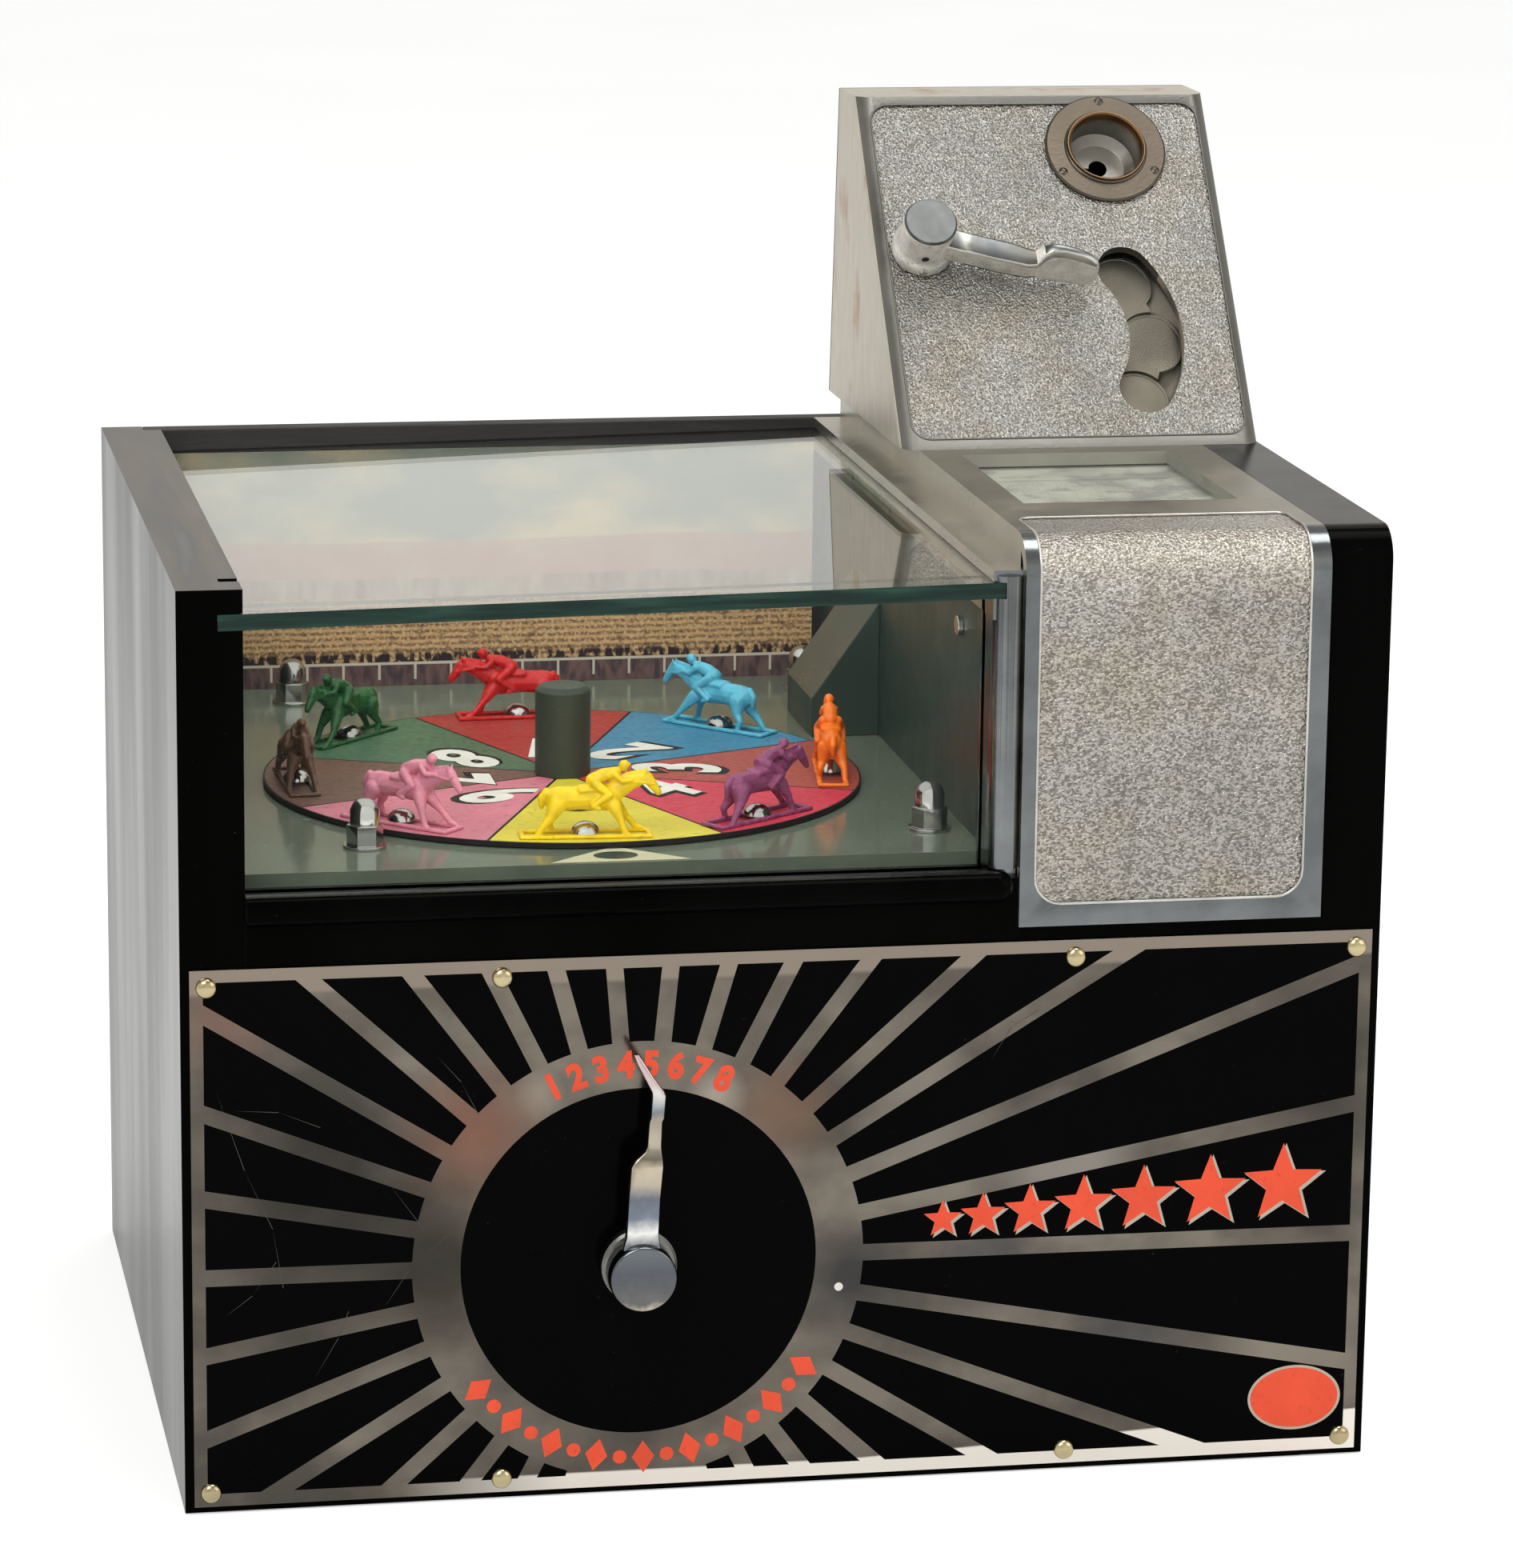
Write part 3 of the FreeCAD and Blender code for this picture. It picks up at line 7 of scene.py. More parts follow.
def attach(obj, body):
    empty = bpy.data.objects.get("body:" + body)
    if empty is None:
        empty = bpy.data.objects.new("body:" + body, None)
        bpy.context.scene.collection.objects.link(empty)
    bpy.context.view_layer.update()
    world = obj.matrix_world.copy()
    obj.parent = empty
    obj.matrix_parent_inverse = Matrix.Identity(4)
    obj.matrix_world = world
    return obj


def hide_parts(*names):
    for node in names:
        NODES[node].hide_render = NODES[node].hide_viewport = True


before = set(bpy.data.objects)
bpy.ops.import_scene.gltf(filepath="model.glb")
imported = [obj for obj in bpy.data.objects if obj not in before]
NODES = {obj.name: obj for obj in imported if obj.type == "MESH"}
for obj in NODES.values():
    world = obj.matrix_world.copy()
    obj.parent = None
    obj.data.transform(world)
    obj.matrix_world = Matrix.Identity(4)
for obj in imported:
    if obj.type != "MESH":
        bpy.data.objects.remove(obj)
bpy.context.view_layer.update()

# Millimetres: the ring, the entry and the lever are placed by X and up the face they stand on
MM = 0.001
WELL_FLOOR = 187
PLATE_FACE = -141.2
RING_CENTRE = (-44.4, 71.2)
CAST_TOP = 284.5
HEAD_FOOT_Y = 7.6
LEAN = math.radians(38.7)
PANEL_SUNK = 0.6
ENTRY = (142, 109.6)
LEVER_AXIS = (77, 72.9)
DISC_CENTRE = (-48, -12)
DISC_TOP = 189
HORSE_RING = 83


def at(x, y, z=0.0):
    return Matrix.Translation(Vector((x, y, z)) * MM)


def spun(angle, axis="Z"):
    return Matrix.Rotation(angle, 4, axis)


def widened(factor):
    return Matrix.Diagonal((factor, 1, 1, 1))


# Local frames with X to the right: Y up the plate, Y up the sloping panel, Y to the back of the disc
FRONT = at(0, PLATE_FACE) @ spun(math.pi / 2, "X")
PANEL = at(0, HEAD_FOOT_Y, CAST_TOP) @ spun(math.pi / 2 - LEAN, "X")
DISC = at(*DISC_CENTRE, DISC_TOP)


# Colours: three numbers are a colour as seen, 0 to 255, and four are the shader's own
def shader_colour(colour):
    if len(colour) == 4:
        return colour
    parts = [v / 255 for v in colour]
    return (*[v / 12.92 if v <= 0.04045 else ((v + 0.055) / 1.055) ** 2.4 for v in parts], 1)


def shade(colour, k):
    """The colour with its light times k"""
    return tuple(min(1, c * k) for c in shader_colour(colour)[:3]) + (1,)


def dimmed(colour, k):
    """The colour with its numbers as seen times k"""
    return tuple(c * k for c in colour)


class Nodes:
    """Builds a node tree step by step"""

    def __init__(self, tree):
        self.tree = tree

    def feed(self, socket, value):
        """Link an output to a socket, or give the socket a fixed value"""
        if isinstance(value, bpy.types.NodeSocket):
            self.tree.links.new(value, socket)
        else:
            socket.default_value = shader_colour(value) if socket.type == "RGBA" else value

    def node(self, kind, **values):
        made = self.tree.nodes.new("ShaderNode" + kind)
        for key, value in values.items():
            if hasattr(made, key):
                setattr(made, key, value)
            else:
                self.feed(made.inputs[key.replace("_", " ")], value)
        return made

    def ramp(self, value, *stops):
        made = self.node("ValToRGB", Fac=value)
        elements = made.color_ramp.elements
        while len(elements) < len(stops):
            elements.new(0.5)
        for element, (place, colour) in zip(elements, stops):
            element.position = place
            element.color = shader_colour(colour)
        return made.outputs["Color"]

    def span(self, value, low, high, lo_in=0.3, hi_in=0.7):
        """The value's run from lo_in to hi_in, mapped to low and high"""
        return self.node("MapRange", From_Min=lo_in, From_Max=hi_in, To_Min=low, To_Max=high,
                         Value=value).outputs["Result"]

    def math(self, operation, a, b):
        made = self.node("Math", operation=operation)
        self.feed(made.inputs[0], a)
        self.feed(made.inputs[1], b)
        return made.outputs[0]

    def times(self, a, b):
        return self.math("MULTIPLY", a, b)

    def plus(self, a, b):
        return self.math("ADD", a, b)

    def mix(self, factor, a, b, kind="MIX"):
        made = self.node("Mix", data_type="RGBA", blend_type=kind, Factor=factor)
        self.feed(made.inputs[6], a)
        self.feed(made.inputs[7], b)
        return made.outputs[2]

    def blend(self, factor, a, b):
        """Mix two shaders"""
        made = self.node("MixShader", Fac=factor)
        self.feed(made.inputs[1], a)
        self.feed(made.inputs[2], b)
        return made.outputs["Shader"]


class Paint(Nodes):
    """A material on the principled shader, with its textures in the piece's own metres"""

    def __init__(self, name, colour, rough, metal=0.0, **extra):
        self.mat = bpy.data.materials.new(name)
        self.mat.use_nodes = True
        super().__init__(self.mat.node_tree)
        self.shader = self.tree.nodes["Principled BSDF"]
        for key, value in dict(Base_Color=colour, Roughness=rough, Metallic=metal, **extra).items():
            self.feed(self.shader.inputs[key.replace("_", " ")], value)
        self.coords = self.node("TexCoord").outputs["Object"]

    def place(self, scale=(1, 1, 1)):
        return self.node("Mapping", Scale=scale, Vector=self.coords).outputs["Vector"]

    def axes(self):
        return self.node("SeparateXYZ", Vector=self.place()).outputs

    def noise(self, scale, detail, stretch=(1, 1, 1), rough=0.55):
        return self.node("TexNoise", Scale=scale, Detail=detail, Roughness=rough,
                         Vector=self.place(stretch)).outputs["Fac"]

    def spot(self, centre, inner, outer):
        """1 about a point of a front face, fading to 0 at the outer distance"""
        made = self.node("VectorMath", operation="DISTANCE")
        self.feed(made.inputs[0], self.place((1, 0, 1)))
        self.feed(made.inputs[1], centre)
        return self.span(made.outputs["Value"], 1, 0, inner, outer)

    def surface(self, shader):
        self.feed(self.tree.nodes["Material Output"].inputs["Surface"], shader)

    def done(self, colour, rough=None, relief=None, strength=0.0, depth=0.0003):
        """Connect what was built, with the relief as a bump, and give the material"""
        self.feed(self.shader.inputs["Base Color"], colour)
        if rough is not None:
            self.feed(self.shader.inputs["Roughness"], rough)
        if relief is not None:
            bump = self.node("Bump", Strength=strength, Distance=depth, Height=relief)
            self.feed(self.shader.inputs["Normal"], bump.outputs["Normal"])
        return self.mat


def lacquer(name, base, gloss, streaks, rough=0.16):
    """Black gloss lacquer on wood, with faint vertical streaks and dust"""
    black = (base, base, base)
    p = Paint(name, black, rough, Specular_IOR_Level=gloss, Specular_Tint=(250, 244, 232))
    streak = p.noise(26, 7, (1, 1, 0.12))
    dust = p.noise(900, 2)
    tone = p.mix(p.span(streak, 0, 1, 0.35, 0.7), black, (base * 1.5 + 3,) * 3)
    tone = p.mix(p.span(dust, 0, 0.6, 0.74, 0.8), tone, (70, 68, 64))
    return p.done(tone, p.span(streak, rough * 0.8, rough * 1.3), streak, streaks, 0.0006)


def board_top_sheen():
    """The upper edge of a board: black with a brown cast and pale lengthwise streaks, a painted sheen"""
    p = Paint("board_top_sheen", (52, 48, 42), 0.3, Specular_IOR_Level=0.38)
    streak = p.noise(120, 6, (1, 0.08, 1))
    tone = p.mix(p.span(streak, 0, 1, 0.4, 0.68), (38, 35, 32), (96, 90, 80))
    return p.done(tone, p.span(streak, 0.22, 0.42), streak, 0.12, 0.0004)


def wood(name, base):
    p = Paint(name, base, 0.6)
    grain = p.noise(36, 8, (1, 1, 9), rough=0.65)
    fine = p.noise(210, 6, (0.25, 1, 6))
    tone = p.ramp(grain, (0.3, shade(base, 0.6)), (0.5, base), (0.7, shade(base, 1.4)))
    tone = p.mix(p.span(fine, 0, 0.6), tone, shade(base, 0.7))
    return p.done(tone, p.span(fine, 0.5, 0.75), grain, 0.2, 0.0005)


def metal(name, colour, rough, patch=0.25, grain=0.0, stretch=(1, 1, 1)):
    """Metal with patches of dulling, and a grain if it is brushed"""
    p = Paint(name, colour, rough, 1.0)
    cloud = p.noise(38, 6)
    tone = p.mix(p.span(cloud, 0, 1, 0.35, 0.7), shade(colour, 1 - patch), shade(colour, 1 + patch * 0.3))
    fine = p.noise(700, 4, stretch)
    return p.done(tone, p.span(cloud, rough * 0.75, min(0.9, rough * 1.4)), fine, 0.05 + grain)


# Stains and painted reflections on the plate: x and z, inner and outer radius in millimetres, strength,
# colour
PLATE_STAINS_AND_REFLECTIONS = (
    (-94, 112, 5, 26, 0.7, (122, 84, 68)), (-2, 116, 3, 20, 0.6, (118, 90, 72)),
    (-22, 121, 1, 10, 0.6, (168, 158, 146)), (-74, 124, 1, 8, 0.5, (150, 138, 126)),
    (19, 64, 4, 20, 0.85, (52, 52, 54)), (60, 64, 4, 18, 0.6, (68, 72, 76)),
    (-165, 150, 3, 20, 0.6, (112, 82, 72)), (-140, 96, 14, 46, 0.8, (44, 42, 40)),
    (-104, 72, 8, 34, 0.85, (46, 43, 39)), (-146, 60, 8, 40, 0.6, (62, 59, 55)),
    (84, 94, 8, 26, 0.7, (134, 129, 122)), (42, 108, 6, 26, 0.6, (128, 122, 114)),
    (152, 38, 8, 26, 0.7, (136, 128, 116)), (104, 40, 6, 20, 0.6, (66, 68, 70)),
    (156, 122, 10, 40, 0.75, (48, 46, 44)))


def plate_metal():
    """The bright plate: cloudy, brown in places with stains and painted reflections, a painted reflection
    along the foot at the right, and a lighter band along the top
    """
    base = (98, 92, 84)
    p = Paint("polished_plate", base, 0.1, 1.0)
    cloud = p.noise(26, 6, (1, 1, 1.4))
    tone = p.ramp(cloud, (0.36, (80, 76, 70)), (0.5, base), (0.64, (116, 109, 99)))
    # Stains and painted reflections, each laid over its spot
    for x, z, near, far, strength, stain in PLATE_STAINS_AND_REFLECTIONS:
        tone = p.mix(p.times(p.spot((x * MM, 0, z * MM), near * MM, far * MM), strength), tone, stain)
    axes = p.axes()
    # Painted reflection: pale along the foot at the right
    slope = p.times(p.math("MAXIMUM", p.math("SUBTRACT", axes["X"], 0.02), 0), 0.05)
    foot = p.times(p.span(p.math("SUBTRACT", axes["Z"], slope), 1, 0, 0.0064, 0.0070),
                   p.span(axes["X"], 0, 1, -0.115, -0.065))
    tone = p.mix(foot, tone, (224, 218, 208))
    tone = p.mix(p.span(axes["Z"], 0, 0.85, 0.1560, 0.1572), tone, (134, 124, 112))
    return p.done(tone, p.span(cloud, 0.08, 0.2), p.noise(900, 3, (1, 1, 0.2)), 0.05)


def stipple(name, low, high, scale, stretch=(1, 1, 1), depth=0.9, highlight_heights=None):
    """Cast aluminium with a pebbled ground, and a painted highlight: lighter above the given heights"""
    p = Paint(name, high, 0.3, 1.0)
    pebble = p.noise(scale, 1.5, stretch, rough=0.45)
    raised = p.span(pebble, 0, 1, 0.38, 0.6)
    ground = p.mix(raised, low, high)
    # Painted highlight: lighter tones up the bend and over the top
    if highlight_heights:
        lit = p.mix(raised, shade(low, 1.35), shade(high, 1.35))
        ground = p.mix(p.span(p.axes()["Z"], 0, 1, *highlight_heights), ground, lit)
    warm = p.mix(p.span(p.noise(46, 3), 0, 0.6, 0.42, 0.66), ground, (246, 238, 224), "MULTIPLY")
    tone = p.mix(p.span(p.noise(22, 5), 0, 0.45, 0.4, 0.7), warm, (196, 198, 204), "MULTIPLY")
    return p.done(tone, p.span(pebble, 0.42, 0.26, 0.35, 0.65), pebble, depth, 0.0008)


def enamel(name, colour, rough=0.32, wear=None, gloss=0.4, fleck_at=0.6, fleck_size=480, relief=0.05,
           calm=False):
    """Paint with soft clouds and, where it is worn, flecks; a calm one shines evenly"""
    p = Paint(name, colour, rough, Specular_IOR_Level=gloss)
    cloud = p.noise(55, 5)
    fleck = p.noise(fleck_size, 3)
    tone = p.mix(p.span(cloud, 0, 1), shade(colour, 0.86), shade(colour, 1.08))
    if wear:
        tone = p.mix(p.span(fleck, 0, 0.8, fleck_at, fleck_at + 0.1), tone, wear)
    return p.done(tone, p.span(cloud if calm else fleck, rough * 0.85, rough * 1.25), fleck, relief)


def cast_rough():
    """As-cast aluminium, pitted and grey, that still takes the light"""
    p = Paint("pitted_aluminium", (196, 192, 182), 0.5, 0.45)
    pits = p.noise(1400, 3)
    body = p.mix(p.span(p.noise(160, 4), 0, 1, 0.35, 0.65), (196, 193, 184), (232, 228, 218))
    return p.done(p.mix(p.span(pits, 0, 0.7, 0.6, 0.7), body, (120, 116, 108)), None, pits, 0.5, 0.0004)


def reflection_bands(name, axis, rough, stops):
    """Polished metal with painted reflections and highlights that change along one axis: stops of
    millimetres and colour, ends included
    """
    low, high = stops[0][0], stops[-1][0]
    p = Paint(name, (150, 150, 148), rough, 1.0)
    cloud = p.noise(260, 4)
    along = p.plus(p.axes()[axis], p.times(p.math("SUBTRACT", cloud, 0.5), 0.004))
    tone = p.ramp(p.span(along, 0, 1, low * MM, high * MM),
                  *[((place - low) / (high - low), colour) for place, colour in stops[1:-1]])
    tone = p.mix(p.span(cloud, 0, 0.12), tone, (112, 110, 106), "MULTIPLY")
    return p.done(tone, p.span(cloud, rough * 0.9, rough * 1.15), p.noise(900, 3), 0.03)


# Painted reflections and highlights up the pointer and along the play lever, between the two places that
# limit them
POINTER_REFLECTIONS = (
    (58, None), (60, (206, 196, 176)), (63, (104, 104, 102)), (72, (88, 92, 98)), (80, (110, 114, 118)),
    (83.5, (226, 226, 222)), (88, (118, 126, 138)), (94, (104, 110, 120)), (98.5, (180, 171, 154)),
    (103, (196, 184, 164)), (106, (120, 114, 104)), (110, (176, 168, 150)), (118, (160, 152, 138)),
    (120, (120, 128, 138)), (125, (206, 206, 204)), (128, (200, 180, 178)), (140, None))
HANDLE_REFLECTIONS = (
    (66, None), (70, (96, 98, 97)), (86, (96, 98, 97)), (88.5, (158, 158, 152)), (90.5, (108, 109, 106)),
    (98, (90, 92, 94)), (105, (106, 106, 103)), (111, (98, 95, 86)), (116, (106, 108, 106)),
    (122, (126, 128, 128)), (130, (158, 158, 154)), (136, None))


def side_wall():
    """The head's cast side: pale, brushed across, with brown stains"""
    p = Paint("cast_side", (206, 198, 184), 0.42, 1.0)
    brushed = p.noise(240, 6, (1, 1, 0.3))
    tone = p.mix(p.span(brushed, 0, 1, 0.3, 0.7), (198, 192, 179), (212, 205, 191))
    stain = p.span(p.noise(52, 4, (1, 1, 0.6)), 0, 0.75, 0.58, 0.72)
    return p.done(p.mix(stain, tone, (176, 140, 112)), None, brushed, 0.05, 0.0004)


def glass(name, tint, bend):
    """Clear glass that lets the lamps' light through"""
    p = Paint(name, (*tint, 1), 0.0, Transmission_Weight=1.0, IOR=bend)
    clear = p.node("BsdfTransparent", Color=(0.95, 0.97, 0.96, 1)).outputs["BSDF"]
    p.surface(p.blend(p.node("LightPath").outputs["Is Shadow Ray"], p.shader.outputs["BSDF"], clear))
    return p.mat


def edge_glass():
    """The cut edge of plate glass: dark green with a lighter core"""
    p = Paint("green_glass_edge", (20, 48, 40), 0.2, Specular_IOR_Level=0.2)
    streak = p.noise(260, 4, (0.1, 1, 1.6))
    tone = p.ramp(streak, (0.38, (13, 34, 28)), (0.5, (20, 48, 40)), (0.62, (34, 66, 56)))
    return p.done(tone, p.span(streak, 0.14, 0.3))


def backdrop():
    """A country scene made of bands: rail, hedge, rows of an autumn field, far hills and a cloudy sky"""
    p = Paint("country_print", (200, 198, 180), 0.55, Specular_IOR_Level=0.25)
    axes = p.axes()
    x, z = axes["X"], axes["Z"]

    def over(value, level, blur):
        return p.span(value, 0, 1, level * MM, (level + blur) * MM)

    def under(value, level, blur):
        return p.span(value, 1, 0, level * MM, (level + blur) * MM)

    billow = p.plus(p.times(p.noise(24, 7, (1, 1, 1.9)), 0.6), p.times(p.noise(10, 3, (1, 1, 2.4)), 0.4))
    sky = p.ramp(billow, (0.42, (154, 162, 150)), (0.5, (184, 180, 158)), (0.56, (218, 200, 162)))
    leaf = p.noise(420, 4)
    rows = p.node("TexWave", Scale=150.0, Distortion=1.3, Detail=2.0, bands_direction="Z", Vector=p.place())
    field = p.mix(p.span(rows.outputs["Fac"], 0, 1, 0.1, 0.9), (128, 94, 66), (198, 156, 110))
    field = p.mix(p.span(p.noise(900, 3), 0, 0.8, 0.46, 0.62), field, (214, 184, 140))
    field = p.mix(p.span(leaf, 0, 0.6, 0.56, 0.7), field, (72, 50, 44))
    hills = p.mix(p.span(p.noise(70, 4), 0, 1), (192, 150, 136), (202, 170, 152))
    skyline = p.plus(z, p.times(p.noise(12, 2, (1, 1, 0)), -0.006))
    scene = p.mix(over(skyline, 229, 0.6), hills, sky)
    haze = p.mix(p.span(p.noise(200, 4, (1, 1, 0.3)), 0, 1), (196, 180, 160), (150, 122, 104))
    scene = p.mix(over(skyline, 216.6, 0.6), haze, scene)
    scene = p.mix(over(p.plus(z, p.times(leaf, -0.002)), 211.5, 0.7), field, scene)
    hedge = p.span(p.noise(520, 3, (1, 1, 0.45)), 0, 1, 0.42, 0.52)
    scene = p.mix(p.times(p.times(over(z, 194.6, 0.4), under(z, 197.6, 2)), hedge), scene, (44, 30, 34))
    lower = p.mix(p.span(p.noise(240, 4, (2, 1, 0.6)), 0, 1, 0.4, 0.6), (72, 56, 62), (112, 86, 80))
    scene = p.mix(over(z, 194.4, 0.4), lower, scene)
    rail = p.times(over(z, 194, 0.3), under(z, 194.9, 0.3))
    spacing = p.math("MODULO", p.plus(x, 1.0), 0.012)
    post = p.times(under(spacing, 0.7, 0.2), p.times(over(z, 189, 0.3), under(z, 194.9, 0.3)))
    scene = p.mix(p.math("MAXIMUM", rail, post), scene, (200, 190, 172))
    return p.done(scene, None, leaf, 0.03, 0.0002)


def horse_paint(name, colour):
    """Glossy paint on a small casting, darker in random patches and chipped in places"""
    p = Paint(name, colour, 0.26, Specular_IOR_Level=0.5)
    worn = p.noise(300, 4)
    dark_patches = p.noise(180, 4)
    tone = p.mix(p.span(dark_patches, 0, 0.5, 0.45, 0.7), colour, dimmed(colour, 0.74))
    tone = p.mix(p.span(worn, 0, 0.6, 0.66, 0.76), tone, dimmed(colour, 0.5))
    return p.done(tone, p.span(worn, 0.18, 0.4), dark_patches, 0.3, 0.0005)


# Colour, roughness, patches, grain and its stretch
METALS = {
    "polished_aluminium": ((118, 122, 123), 0.16, 0.35, 0.05),
    "turned_aluminium": ((118, 118, 115), 0.28, 0.2, 0.1),
    "satin_aluminium": ((156, 151, 138), 0.34, 0.2, 0.0, (1, 0.15, 1)),
    "satin_rail": ((192, 188, 174), 0.3, 0.25),
    "satin_border": ((118, 117, 111), 0.4, 0.25, 0.2),
    # Bright metal for raised ridges, worn, and for a painted highlight on the play lever
    "wear_and_highlight_ridge": ((212, 210, 204), 0.3, 0.35, 0.2),
    "bright_steel": ((206, 204, 200), 0.12, 0.3),
    "dark_steel": ((70, 70, 72), 0.45, 0.3),
    "tin_tray": ((150, 150, 140), 0.4, 0.2),
    "brass_screws": ((196, 182, 142), 0.2, 0.3),
    "bronze": ((93, 85, 75), 0.36, 0.2, 0.15),
    "bronze_wall": ((120, 88, 58), 0.3, 0.4, 0.1),
    "bronze_rim": ((120, 96, 72), 0.28, 0.3),
    "spun_dish": ((150, 148, 141), 0.34, 0.25, 0.1),
    "worn_tokens": ((140, 133, 119), 0.4, 0.4),
}
# Colour, roughness, colour of the flecks, gloss, amount and size of the flecks, relief, calm or not
ENAMELS = {
    "black_sheet": ((18, 18, 18), 0.3),
    "enamel_black": ((3, 3, 3), 0.1, (56, 54, 50), 0.02, 0.72, 700),
    "orange_paint": ((226, 74, 38), 0.35, (206, 62, 30)),
    "pale_line": ((176, 166, 150), 0.4),
    "well_floor_enamel": ((95, 102, 89), 0.14, (114, 119, 105), 0.55, 0.64, 480, 0.01),
    "well_wall_enamel": ((38, 54, 46), 0.36, None, 0.5, 0.66, 480, 0.004, True),
    "guard_enamel_lit_top": ((74, 76, 66), 0.3, None, 0.4, 0.66, 480, 0.004, True),
    "window_wall_painted_light": ((150, 148, 136), 0.5, None, 0.3),
    "post_enamel": ((54, 62, 50), 0.4, None, 0.3),
    "cream_print": ((196, 190, 158), 0.45),
    "green_print": ((22, 44, 38), 0.4),
    "dark_ink": ((24, 18, 18), 0.5, None, 0.2),
    "white_print": ((220, 216, 206), 0.45, None, 0.3),
    "scratch_mark": ((74, 71, 66), 0.5, None, 0.2),
    "card_print": ((208, 206, 196), 0.6, (176, 172, 166), 0.2, 0.5, 60),
}
SECTOR_COLOURS = ((156, 42, 38), (55, 122, 154), (160, 69, 58), (200, 48, 73), (210, 192, 54),
                  (202, 115, 131), (102, 71, 60), (65, 97, 72))
# Each rider's name, place on the disc in degrees, and colour
HORSES = (("red", 91.5, (196, 24, 26)), ("light_blue", 44, (88, 178, 204)), ("orange", -8, (240, 112, 8)),
          ("purple", -54, (138, 64, 104)), ("yellow", -94, (244, 204, 4)), ("pink", -134, (222, 137, 156)),
          ("brown", -178, (90, 62, 43)), ("green", 136, (24, 78, 35)))

MAT = {
    # Three copies of one black lacquer, each with its own tone and gloss for the faces it goes on: painted
    # light and shade
    "lacquer_side_painted_light": lacquer("black_lacquer_side", 13, 0.3, 0.01, 0.24),
    "lacquer_front_painted_light": lacquer("black_lacquer_front", 2, 0.015, 0.02),
    "lacquer_top_painted_light": lacquer("black_lacquer_top", 5, 0.1, 0.01, 0.2),
    "board_top_sheen": board_top_sheen(),
    "inside_wood": wood("inside_wood", (118, 92, 66)),
    "black_wood": wood("black_stained_wood", (34, 32, 30)),
    "pitted": cast_rough(),
    "pointer": reflection_bands("pointer_painted_reflections", "Z", 0.2, POINTER_REFLECTIONS),
    "handle": reflection_bands("handle_painted_reflections", "X", 0.3, HANDLE_REFLECTIONS),
    "side_wall": side_wall(),
    "front_stipple": stipple("stippled_front", (122, 119, 113), (180, 176, 169), 1150, (1, 1, 1.5), 1.0,
                             (0.262, 0.276)),
    "head_stipple": stipple("stippled_panel", (120, 119, 114), (168, 166, 160), 1500),
    "plate": plate_metal(),
    "country_print": backdrop(),
    "top_glass": glass("top_glass", (0.955, 0.98, 0.95), 1.42),
    "front_glass": glass("front_glass", (0.965, 0.985, 0.965), 1.1),
    "small_glass": glass("small_glass", (0.975, 0.98, 0.97), 1.1),
    "glass_edge": edge_glass(),
}
MAT.update((name, metal(name, *values)) for name, values in METALS.items())
MAT.update((name, enamel(name, *values)) for name, values in ENAMELS.items())
for i, colour in enumerate(SECTOR_COLOURS):
    name = "sector_paint_%d" % (i + 1)
    MAT[name] = enamel(name, colour, 0.4, dimmed(colour, 0.8))
for tag, angle, colour in HORSES:
    MAT[tag] = horse_paint("horse_paint_" + tag, colour)


# Building blocks
def stand(name, data, body=None):
    """Put new data in the scene as an object, on its body if it is a piece"""
    thing = bpy.data.objects.new(name, data)
    bpy.context.scene.collection.objects.link(thing)
    if body:
        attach(thing, body)
    return thing


def settle(thing, **values):
    for key, value in values.items():
        setattr(thing, key, value)


def as_mesh(name, bm):
    """The data of a mesh under construction"""
    mesh = bpy.data.meshes.new(name)
    bm.to_mesh(mesh)
    bm.free()
    return mesh


def repaint(mesh, paint):
    mesh.materials.clear()
    mesh.materials.append(MAT[paint])


def mesh_piece(name, bm, paints, body="cabinet", smooth=None, choose=None, matrix=None):
    """A piece from a mesh under construction; choose gives each face the number of its paint"""
    bm.normal_update()
    if choose:
        for face in bm.faces:
            face.material_index = choose(face.calc_center_median() / MM, face.normal)
    mesh = as_mesh(name, bm)
    for paint in [paints] if isinstance(paints, str) else paints:
        mesh.materials.append(MAT[paint])
    if smooth is not None:
        mesh.shade_smooth()
        mesh.set_sharp_from_angle(angle=math.radians(smooth))
    if matrix is not None:
        mesh.transform(matrix)
        mesh.update()
    return stand(name, mesh, body)


def dress(node, paints, width, body="cabinet", smooth=30, choose=None):
    """Put a copy of a CAD node in its place: welded, with whole flat faces and rounded edges"""
    bm = bmesh.new()
    bm.from_mesh(NODES[node].data)
    bmesh.ops.remove_doubles(bm, verts=bm.verts, dist=1e-6)
    bmesh.ops.dissolve_limit(bm, angle_limit=math.radians(0.4), verts=bm.verts, edges=bm.edges)
    piece = mesh_piece(node + "_looks", bm, paints, body, smooth, choose)
    if width:
        settle(piece.modifiers.new("edges", "BEVEL"), width=width * MM, segments=3, limit_method="ANGLE",
               angle_limit=math.radians(35), harden_normals=True)
    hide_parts(node)


def paint_nodes(paint, *nodes):
    """Paint CAD nodes that keep their own mesh"""
    for node in nodes:
        mesh = NODES[node].data
        repaint(mesh, paint)
        mesh.shade_smooth()
        mesh.set_sharp_from_angle(angle=math.radians(30))


def circle(x, y, radius, count, tall=None):
    """Points round a circle, or round an ellipse that has another radius upwards"""
    turns = [2 * math.pi * i / count for i in range(count)]
    return [(x + radius * math.cos(t), y + (tall or radius) * math.sin(t)) for t in turns]


def arc(start, step, count):
    """Angles in radians, from degrees"""
    return [math.radians(start + step * i) for i in range(count)]


